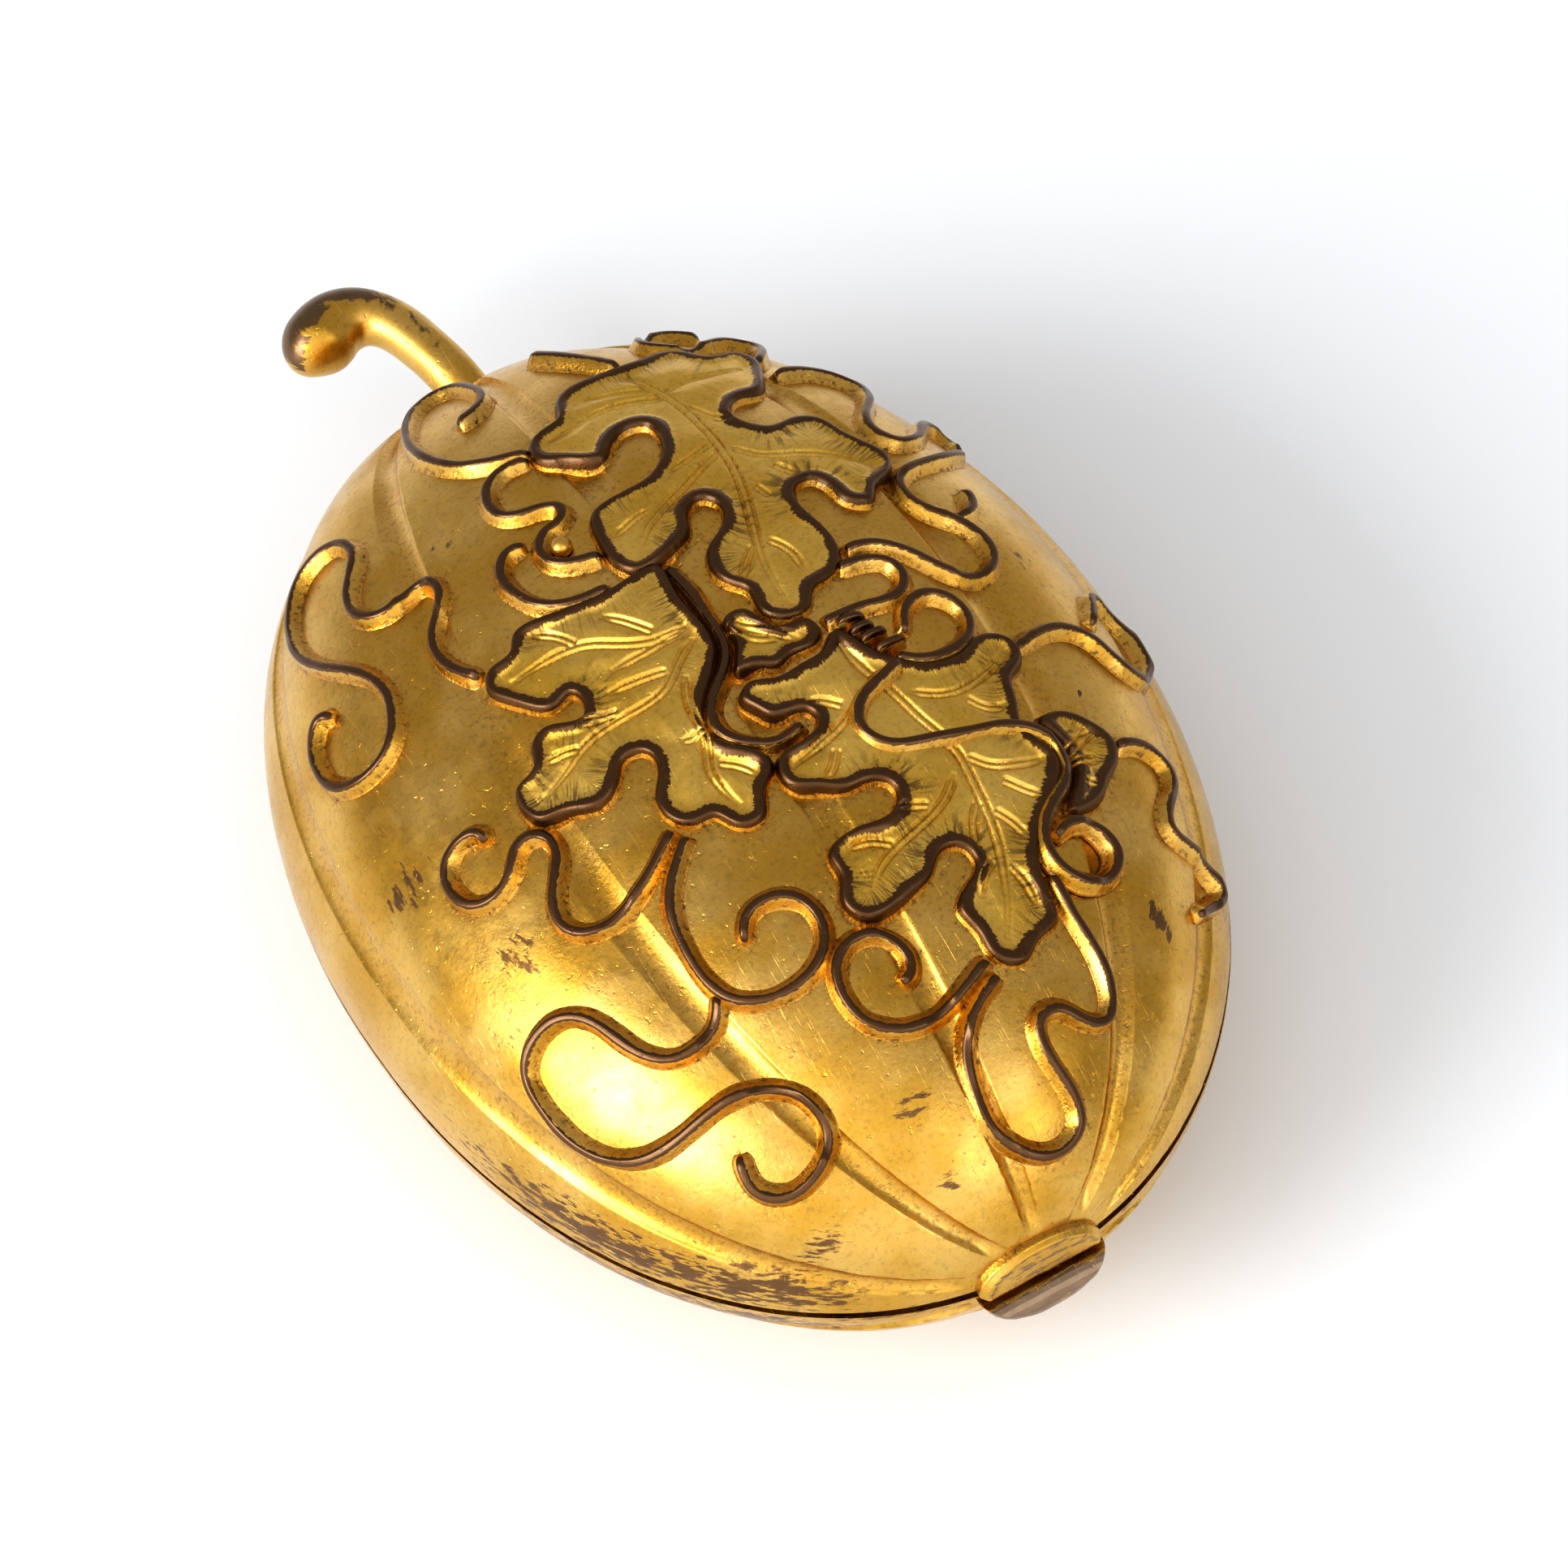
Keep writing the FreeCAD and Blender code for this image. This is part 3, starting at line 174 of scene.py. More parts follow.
# Engraved veins of each leaf: a double cut with a ridge left standing between. The first is the midrib.
VEINS: Dict[str, Sequence[Points]] = {
    "leaf_upper": (
        ((7.8, 27.3), (8.4, 25.0), (9.1, 22.5), (9.5, 20.0), (9.6, 17.0), (9.4, 14.0), (8.9, 11.5),
         (8.0, 8.5), (7.1, 5.0), (6.9, 1.3)),
        ((8.4, 24.2), (7.0, 25.0), (4.2, 26.1)),
        ((8.8, 22.8), (6.0, 24.0), (3.0, 24.0), (0.5, 23.7)),
        ((9.5, 17.0), (7.0, 16.3), (5.2, 16.0)),
        ((9.4, 16.0), (6.5, 14.5), (3.5, 13.0), (1.5, 11.5), (0.5, 10.0)),
        ((2.7, 13.4), (1.0, 13.0), (-0.2, 12.7)),
        ((9.0, 23.5), (10.0, 24.0), (12.0, 24.2), (15.0, 24.4)),
        ((9.6, 21.3), (10.6, 19.8), (11.5, 18.5)),
        ((10.0, 16.2), (11.5, 14.5), (14.0, 13.5), (16.0, 12.5), (18.0, 11.0)),
        ((11.8, 13.2), (12.4, 12.5), (13.0, 11.8)),
        ((9.8, 11.8), (10.1, 11.1), (10.3, 10.5)),
        ((8.2, 7.0), (9.0, 5.5), (9.1, 3.5)),
        ((7.2, 7.0), (6.0, 5.8), (5.3, 4.8)),
    ),
    "leaf_left": (
        ((0.4, 3.3), (-2.0, 3.4), (-4.0, 4.5), (-6.0, 5.9), (-8.5, 6.5), (-11.2, 6.7)),
        ((-6.3, 6.2), (-7.0, 7.7), (-8.4, 9.2)),
        ((-1.7, 4.0), (-2.8, 5.8), (-4.0, 7.4)),
        ((0.3, 2.3), (-1.5, 1.0), (-3.2, -0.3), (-6.0, -0.6), (-9.5, -0.7), (-11.0, -1.4), (-13.5, -2.1)),
        ((-9.8, -0.7), (-11.0, -0.2), (-12.2, 0.0)),
        ((-6.5, 0.0), (-7.8, 0.5), (-9.2, 0.8)),
        ((-2.4, 0.8), (-4.0, 1.2), (-6.5, 1.7)),
        ((0.1, 3.0), (-3.0, 2.9), (-5.5, 3.0)),
        ((-1.5, 0.0), (-2.5, -2.5), (-2.8, -5.0), (-3.6, -7.0), (-3.6, -9.0), (-3.2, -10.5)),
        ((-3.0, -7.0), (-1.9, -8.0), (-1.2, -9.2)),
        ((-2.5, -4.5), (-3.4, -4.5), (-4.3, -4.3)),
    ),
    "leaf_small": (
        ((2.5, 1.8), (3.5, 0.2), (4.8, -0.7)),
        ((3.0, 1.9), (4.8, -0.1), (6.2, -1.5)),
    ),
    "leaf_lower": (
        ((8.2, -3.0), (8.6, -5.5), (9.2, -7.5), (9.8, -10.0), (10.4, -11.9), (10.7, -13.2), (10.6, -15.5),
         (10.3, -18.0), (9.9, -20.0), (9.0, -22.5), (8.0, -24.5), (7.1, -26.0)),
        ((9.8, -14.7), (8.5, -16.0), (6.5, -17.0), (4.0, -17.8), (2.0, -18.8), (0.6, -20.3)),
        ((3.8, -17.7), (2.5, -16.8), (1.0, -16.6)),
        ((7.2, -16.2), (6.0, -15.7), (5.0, -15.7)),
        ((10.2, -17.0), (9.2, -18.3), (8.6, -20.0)),
        ((11.1, -13.9), (12.2, -15.0), (13.5, -15.4), (16.0, -15.4)),
        ((12.3, -16.2), (13.5, -17.3), (14.5, -18.0)),
        ((10.7, -18.0), (11.5, -19.2), (11.9, -20.5)),
        ((9.8, -21.8), (10.1, -23.0), (10.0, -24.6)),
        ((9.0, -21.0), (8.0, -21.6), (6.9, -23.0)),
        ((10.3, -8.2), (11.5, -8.9), (13.0, -9.2), (15.0, -8.7), (18.0, -7.0)),
        ((13.3, -9.9), (14.2, -10.9), (15.8, -11.1)),
        ((10.5, -6.0), (8.0, -7.3), (6.0, -8.2), (4.0, -9.0), (0.8, -9.8)),
        ((5.9, -7.4), (4.8, -6.3), (3.8, -6.0)),
        ((4.0, -10.0), (3.2, -11.0), (2.3, -11.6)),
    ),
    "leaf_side": (
        ((17.3, -15.5), (18.6, -14.7), (19.8, -14.1)),
        ((17.3, -16.0), (18.5, -16.1), (19.6, -15.9)),
        ((17.4, -17.3), (17.8, -17.6), (18.2, -18.0)),
    ),
}

# Turns of the binding that ties the lower leaf's stalk: both ends of each turn.
BINDING: Sequence[Points] = (
    ((8.5, -1.6), (10.6, -1.9)),
    ((8.9, -2.6), (10.8, -2.7)),
    ((9.2, -3.5), (11.3, -3.4)),
    ((9.7, -4.6), (12.1, -4.4)),
)

# Middle of the stem from its root on the base, round the crook, to the far side of its knob.
STEM: Sequence[Tuple[float, float, float]] = (
    (3.1, 36.0, -5.3), (2.5, 39.2, -4.1), (2.0, 41.8, -2.7), (1.4, 44.6, -1.4), (0.6, 47.8, -0.8),
    (-0.3, 50.2, -0.6), (-1.7, 51.8, -0.5), (-3.6, 52.2, -0.4), (-5.3, 51.6, -0.35), (-6.7, 50.5, -0.3),
    (-7.3, 49.8, -0.3),
)


class Half(Enum):
    """The two halves of the case, by the body that each rides on."""

    LID = "lid"
    BASE = "base"


class Grain(Enum):
    """What a worn edge's ragged border follows."""

    BODY = "body"
    EDGE = "edge"


# ---------------------------------------------------------------- curves and steps

def smoothstep(low: float, high: float, value: Array) -> Array:
    """Rise softly from 0 at low to 1 at high.

    Args:
        low: Value at which the step starts.
        high: Value at which it is complete; below low, the step falls instead.
        value: Numbers to step.

    Returns:
        Array of shares from 0 to 1.
    """
    share = np.clip((value - low) / (high - low), 0.0, 1.0)
    return share * share * (3.0 - 2.0 * share)


def smooth_curve(points: Sequence[Sequence[float]], spacing: float, closed: bool = False) -> Array:
    """Draw a smooth curve through points and walk it in even steps.

    Formula: a cubic spline in chord length, whose second derivatives solve one linear system; natural
    ends when open, periodic when closed. It is sampled finely and then at even arc length.

    Args:
        points: Points that the curve passes, two or three numbers each.
        spacing: Distance between the samples, in the points' unit.
        closed: Whether the curve returns to its first point.

    Returns:
        Array of samples; a closed curve doesn't repeat its first.
    """
    knots = np.asarray(points, float)
    if closed:
        knots = np.vstack([knots, knots[:1]])
    chord = np.linalg.norm(np.diff(knots, axis=0), axis=1)
    count = len(knots)
    slope = np.diff(knots, axis=0) / chord[:, None]
    system = np.zeros((count, count))
    right = np.zeros((count, knots.shape[1]))
    inner = np.arange(1, count - 1)
    system[inner, inner - 1] = chord[:-1]
    system[inner, inner] = 2.0 * (chord[:-1] + chord[1:])
    system[inner, inner + 1] = chord[1:]
    right[inner] = 6.0 * np.diff(slope, axis=0)
    system[0, 0] = 1.0
    system[-1, -1] = 1.0
    if closed:
        system[0] = 0.0
        system[0, 0] = 2.0 * (chord[0] + chord[-1])
        system[0, 1] = chord[0]
        system[0, -2] = chord[-1]
        right[0] = 6.0 * (slope[0] - slope[-1])
        system[-1, 0] = -1.0
    bend = np.linalg.solve(system, right)
    start = np.concatenate([[0.0], np.cumsum(chord)])
    fine = np.linspace(0.0, start[-1], max(200, count * 60))
    span = np.clip(np.searchsorted(start, fine, side="right") - 1, 0, count - 2)
    width = chord[span][:, None]
    after = (fine - start[span])[:, None]
    before = width - after
    curve = (bend[span] * before ** 3 + bend[span + 1] * after ** 3) / (6.0 * width)
    curve += (knots[span] / width - bend[span] * width / 6.0) * before
    curve += (knots[span + 1] / width - bend[span + 1] * width / 6.0) * after
    run = np.concatenate([[0.0], np.cumsum(np.linalg.norm(np.diff(curve, axis=0), axis=1))])
    steps = max(6, int(round(run[-1] / spacing)))
    even = np.linspace(0.0, run[-1], steps + 1)
    walked = np.stack([np.interp(even, run, column) for column in curve.T], axis=1)
    return walked[:-1] if closed else walked


def nearest(places: Array, samples: Array, chunk: int = 4000) -> Tuple[Array, Array]:
    """Find each place's nearest sample.

    Args:
        places: Points to look from, two numbers each.
        samples: Points to find.
        chunk: How many places are compared at a time.

    Returns:
        The distances, and the index of the nearest sample of each place.
    """
    far = np.empty(len(places))
    index = np.empty(len(places), int)
    targets = samples.astype(np.float32)
    for start in range(0, len(places), chunk):
        block = places[start:start + chunk].astype(np.float32)
        gap = (block[:, None, 0] - targets[None, :, 0]) ** 2
        gap += (block[:, None, 1] - targets[None, :, 1]) ** 2
        found = gap.argmin(axis=1)
        index[start:start + chunk] = found
        far[start:start + chunk] = np.sqrt(gap[np.arange(len(block)), found])
    return far, index


def ripple(points: Array, reach: float, seed: float) -> Array:
    """Slow unevenness of handwork: three crossed sine waves, about 1 at their highest.

    Args:
        points: Places, three numbers each.
        reach: Length of a wave.
        seed: Shifts the waves.

    Returns:
        One number per place.
    """
    turn = 2.0 * math.pi / reach
    first = np.sin(turn * (points[..., 0] + 0.6 * points[..., 1]) + seed)
    second = np.sin(turn * (0.8 * points[..., 1] - 0.5 * points[..., 0]) * 1.3 + 2.1 * seed)
    third = np.sin(turn * (points[..., 2] + 0.4 * points[..., 0] - 0.7 * points[..., 1]) * 0.7 + 3.7 * seed)
    return (first + second + third) / 3.0


# ---------------------------------------------------------------- the melon

@dataclass(frozen=True)
class Melon:
    """Skin of one half of the case, in millimetres about the middle of the seam."""

    half: Half
    half_length: float = 40.0
    half_width: float = 29.0
    lid_rise: float = 19.1
    base_depth: float = 15.4
    power: float = 2.07
    wall: float = 1.3

    @property
    def rise(self) -> float:
        """Height of the skin's crown above the seam, or its depth below it."""
        return self.lid_rise if self.half is Half.LID else self.base_depth

    @property
    def side(self) -> float:
        """1 above the seam and -1 below it."""
        return 1.0 if self.half is Half.LID else -1.0

    def girth(self, along: Array) -> Array:
        """Share of the full girth at a distance along Y."""
        share = np.clip(np.abs(along) / self.half_length, 0.0, 1.0)
        return (1.0 - share ** self.power) ** (1.0 / self.power)

    def over(self, across: Array, along: Array) -> Array:
        """Points of the skin straight over places seen from above.

        Args:
            across: X of each place.
            along: Y of each place.

        Returns:
            One point of the skin for each place; past the rim, a point on the seam.
        """
        inside = self.girth(along) ** 2 - (across / self.half_width) ** 2
        height = self.side * self.rise * np.sqrt(np.maximum(inside, 0.0))
        return np.stack([across, along, height], axis=-1)

    def onto(self, points: Array) -> Tuple[Array, Array]:
        """Bring points onto the skin along lines from the centre.

        Formula: the skin is where (|y|/length)^p + ((x/width)^2 + (z/rise)^2)^(p/2) = 1, so dividing a
        point by the p-th root of that sum puts it on the skin; the sum's gradient is the normal.

        Args:
            points: Places near the skin.

        Returns:
            The places on the skin and the outward normals there.
        """
        round_part = (points[..., 0] / self.half_width) ** 2 + (points[..., 2] / self.rise) ** 2
        share = np.abs(points[..., 1]) / self.half_length
        total = share ** self.power + round_part ** (self.power / 2.0)
        skin = points / (total ** (1.0 / self.power))[..., None]
        round_part = (skin[..., 0] / self.half_width) ** 2 + (skin[..., 2] / self.rise) ** 2
        pull = np.maximum(round_part, 1e-9) ** (self.power / 2.0 - 1.0)
        share = np.abs(skin[..., 1]) / self.half_length
        normal = np.stack([
            pull * skin[..., 0] / self.half_width ** 2,
            np.sign(skin[..., 1]) * share ** (self.power - 1.0) / self.half_length,
            pull * skin[..., 2] / self.rise ** 2,
        ], axis=-1)
        return skin, normal / np.linalg.norm(normal, axis=-1, keepdims=True)

    def turn(self, points: Array) -> Array:
        """Angle of each point round the Y axis in degrees, 0 at the right end of the seam."""
        return np.degrees(np.arctan2(np.abs(points[..., 2]) / self.rise, points[..., 0] / self.half_width))


@dataclass(frozen=True)
class Flutes:
    """Shallow channels that part the melon's ribs, each on one meridian."""

    melon: Melon
    angles: Tuple[float, ...]
    half_width: float = 1.3
    depth: float = 0.4
    shoulder: float = 0.3
    shoulder_reach: float = 3.4
    end: float = 39.7

    def dip(self, skin: Array) -> Array:
        """How far the surface lies below the even skin.

        Formula: at a distance d from a flute's middle the channel is depth * (1 - (d/half width)^2)^0.7,
        deepest near both ends; a wider, softer hollow of exp(-(d/reach)^2) rounds the ribs.

        Args:
            skin: Points of the skin.

        Returns:
            Depth in millimetres for each point.
        """
        turn = self.melon.turn(skin)
        girth = self.melon.girth(skin[..., 1])
        along = np.abs(skin[..., 1]) / self.melon.half_length
        width = self.half_width * (0.35 + 0.65 * girth)
        fade = smoothstep(self.end, self.end - 0.8, np.abs(skin[..., 1]))
        broad_fade = smoothstep(self.end, self.end - 5.0, np.abs(skin[..., 1]))
        depth = self.depth * (0.55 + 0.75 * along ** 2) * fade
        radians = np.radians(turn)
        arm = np.hypot(self.melon.half_width * np.sin(radians), self.melon.rise * np.cos(radians)) * girth
        fall = np.zeros(turn.shape)
        for angle in self.angles:
            gap = np.abs(np.radians(turn - angle)) * arm
            channel = np.maximum(1.0 - (gap / width) ** 2, 0.0) ** 0.7
            broad = self.shoulder * np.exp(-(gap / (self.shoulder_reach * (0.3 + 0.7 * girth))) ** 2)
            fall += depth * channel + broad * broad_fade
        return fall

    def stations(self, coarse: float = 1.0, fine: float = 0.3, margin: float = 4.5) -> Array:
        """Angles to sample from 0 to 180 degrees, closer together at each flute.

        Args:
            coarse: Step between the angles, in degrees.
            fine: Step near a flute.
            margin: How far to each side of a flute the fine steps reach.

        Returns:
            The angles in rising order.
        """
        regular = np.arange(0.0, 180.0 + coarse, coarse)
        near = [np.arange(angle - margin, angle + margin, fine) for angle in self.angles]
        every = np.unique(np.clip(np.concatenate([regular, *near]), 0.0, 180.0).round(3))
        keep = np.concatenate([[True], np.diff(every) > fine * 0.6])
        return every[keep]


def placed(points: Array, half: Half) -> Array:
    """Put seam-frame millimetres into the frame's metres; the lid stands slightly ajar on its hinge.

    Args:
        points: Places about the middle of the seam, in millimetres.
        half: Half of the case that they belong to.

    Returns:
        The places in the frame.
    """
    moved = np.array(points, float)
    if half is Half.LID:
        back = moved[..., 1] - HINGE_ALONG
        up = moved[..., 2].copy()
        moved[..., 1] = HINGE_ALONG + back * math.cos(LID_AJAR) + up * math.sin(LID_AJAR)
        moved[..., 2] = up * math.cos(LID_AJAR) - back * math.sin(LID_AJAR)
    moved[..., 2] += SEAM_HEIGHT
    return moved * MM


# ---------------------------------------------------------------- meshes

@dataclass
class Surface:
    """Arrays of one piece before it becomes a mesh."""

    points: Array
    faces: Array
    marks: Dict[str, Array] = field(default_factory=dict)
    grain: Optional[Array] = None


def tube(rings: Array, marks: Dict[str, Array]) -> Surface:
    """Join closed rings into a skin: quads between neighbours along the path and round each ring.

    Args:
        rings: Points of each ring, as (ring, place round it, three numbers).
        marks: Numbers to carry on the points, as (ring, place round it).

    Returns:
        The skin, open at its first and last ring.
    """
    count, around = rings.shape[:2]
    index = np.arange(count * around).reshape(count, around)
    right = np.roll(index, -1, axis=1)
    quads = np.stack([index[:-1], right[:-1], right[1:], index[1:]], axis=-1).reshape(-1, 4)
    flat = {name: np.broadcast_to(value, (count, around)).reshape(-1) for name, value in marks.items()}
    return Surface(rings.reshape(-1, 3), quads, flat)


def ended(rings: Array, marks: Dict[str, Array]) -> Surface:
    """Close a tube by drawing its first and last ring together into a point.

    Args:
        rings: Points of each ring, as (ring, place round it, three numbers).
        marks: Numbers to carry on the points, as (ring, place round it).

    Returns:
        The closed skin.
    """
    first = np.broadcast_to(rings[0].mean(axis=0), rings[0].shape)
    last = np.broadcast_to(rings[-1].mean(axis=0), rings[-1].shape)
    whole = np.concatenate([first[None], rings, last[None]])
    spread = {}
    for name, value in marks.items():
        full = np.broadcast_to(value, rings.shape[:2])
        spread[name] = np.concatenate([full[:1], full, full[-1:]])
    return tube(whole, spread)


def make_piece(name: str, surface: Surface, half: Half, material: bpy.types.Material,
               nodes: Sequence[str], sharp: float = 60.0) -> bpy.types.Object:
    """Turn a surface into a piece that rides on a half and stands for its nodes.

    Args:
        name: Name of the piece.
        surface: Its points, faces and marks, in seam-frame millimetres.
        half: Half of the case that it rides on.
        material: Its finish.
        nodes: Nodes that it stands for.
        sharp: Angle in degrees from which an edge stays crisp.

    Returns:
        The new object.
    """
    mesh = bpy.data.meshes.new(name)
    mesh.from_pydata(placed(surface.points, half), [], surface.faces.tolist())
    for mark, values in surface.marks.items():
        layer = mesh.attributes.new(mark, "FLOAT", "POINT")
        layer.data.foreach_set("value", np.asarray(values, np.float32))
    if surface.grain is not None:
        corners = np.empty(len(mesh.loops), np.int32)
        mesh.loops.foreach_get("vertex_index", corners)
        layer = mesh.uv_layers.new(name="grain")
        layer.data.foreach_set("uv", surface.grain[corners].astype(np.float32).reshape(-1))
    work = bmesh.new()
    work.from_mesh(mesh)
    bmesh.ops.remove_doubles(work, verts=work.verts, dist=2e-7)
    bmesh.ops.recalc_face_normals(work, faces=work.faces)
    work.to_mesh(mesh)
    work.free()
    mesh.polygons.foreach_set("use_smooth", np.ones(len(mesh.polygons), bool))
    mesh.set_sharp_from_angle(angle=math.radians(sharp))
    mesh.materials.append(material)
    piece = bpy.data.objects.new(name, mesh)
    bpy.context.scene.collection.objects.link(piece)
    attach(piece, half.value)
    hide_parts(*nodes)
    LOG.info("%s: %d faces on the %s", name, len(mesh.polygons), half.value)
    return piece


# ---------------------------------------------------------------- finishes

class Graph:
    """Small helper that adds shader nodes to a material and joins them."""

    def __init__(self, name: str) -> None:
        """Start a material that holds its shader alone.

        Args:
            name: Name of the material.
        """
        self.material = bpy.data.materials.new(name)
        self.material.use_nodes = True
        self.tree = self.material.node_tree
        self.shader = self.tree.nodes["Principled BSDF"]

    def add(self, kind: str, **settings: object) -> bpy.types.Node:
        """Add a node and set its properties.

        Args:
            kind: Type of the node.
            **settings: Properties by name.

        Returns:
            The new node.
        """
        node = self.tree.nodes.new(kind)
        for name, value in settings.items():
            setattr(node, name, value)
        return node

    def feed(self, node: bpy.types.Node, socket: Union[int, str], source: Union[Number, Colour]) -> None:
        """Join a source socket to an input, or set the input's own value.

        Args:
            node: Node that has the input.
            socket: Name or place of the input.
            source: Socket to join, or the value to set.
        """
        if isinstance(source, Socket):
            self.tree.links.new(source, node.inputs[socket])
        else:
            node.inputs[socket].default_value = source

    def millimetres(self) -> Socket:
        """Object coordinates counted in millimetres.

        Returns:
            Socket with the place.
        """
        place = self.add("ShaderNodeTexCoord")
        scale = self.add("ShaderNodeVectorMath", operation="SCALE")
        self.feed(scale, 0, place.outputs["Object"])
        self.feed(scale, "Scale", 1.0 / MM)
        return scale.outputs[0]

    def stretched(self, place: Socket, scale: Tuple[float, float, float], turn: float = 0.0) -> Socket:
        """Turn a pattern about Z and stretch it.

        Args:
            place: Coordinates to change.
            scale: Factor along each axis.
            turn: Angle in degrees.

        Returns:
            Socket with the changed coordinates.
        """
        node = self.add("ShaderNodeMapping")
        self.feed(node, "Vector", place)
        node.inputs["Rotation"].default_value[2] = math.radians(turn)
        node.inputs["Scale"].default_value = scale
        return node.outputs[0]

    def noise(self, place: Socket, scale: float, detail: float = 3.0, rough: float = 0.55) -> Socket:
        """Cloudy pattern.

        Args:
            place: Coordinates to read.
            scale: Clouds per unit of the coordinates.
            detail: Octaves of finer noise.
            rough: Strength of each finer octave.

        Returns:
            Socket with a number from 0 to 1.
        """
        node = self.add("ShaderNodeTexNoise")
        self.feed(node, "Vector", place)
        self.feed(node, "Scale", scale)
        self.feed(node, "Detail", detail)
        self.feed(node, "Roughness", rough)
        return node.outputs["Fac"]

    def mark(self, name: str) -> Socket:
        """Number that the mesh carries on its points."""
        return self.add("ShaderNodeAttribute", attribute_name=name).outputs["Fac"]

    def sum(self, operation: str, first: Number, second: Number, third: Optional[Number] = None) -> Socket:
        """One step of arithmetic on two or three numbers.

        Args:
            operation: Name of the step.
            first: First number.
            second: Second number.
            third: Third number, where the step takes one.

        Returns:
            Socket with the result.
        """
        node = self.add("ShaderNodeMath", operation=operation)
        self.feed(node, 0, first)
        self.feed(node, 1, second)
        if third is not None:
            self.feed(node, 2, third)
        return node.outputs[0]

    def step(self, value: Number, low: float, high: float, bottom: float = 0.0, top: float = 1.0) -> Socket:
        """Carry a number softly from the range low..high to bottom..top.

        Args:
            value: Number to carry over.
            low: Value that becomes bottom.
            high: Value that becomes top.
            bottom: Result at and below low.
            top: Result at and above high.

        Returns:
            Socket with the result.
        """
        node = self.add("ShaderNodeMapRange", interpolation_type="SMOOTHSTEP")
        self.feed(node, "Value", value)
        for socket, number in (("From Min", low), ("From Max", high), ("To Min", bottom), ("To Max", top)):
            self.feed(node, socket, number)
        return node.outputs["Result"]

    def mix(self, share: Number, first: Union[Socket, Colour], second: Union[Socket, Colour]) -> Socket:
        """Blend two colours.

        Args:
            share: Share of the second colour.
            first: First colour.
            second: Second colour.

        Returns:
            Socket with the blend.
        """
        node = self.add("ShaderNodeMix", data_type="RGBA")
        self.feed(node, 0, share)
        for socket, colour in ((6, first), (7, second)):
            value = colour if isinstance(colour, Socket) else (*colour, 1.0)
            self.feed(node, socket, value)
        return node.outputs[2]


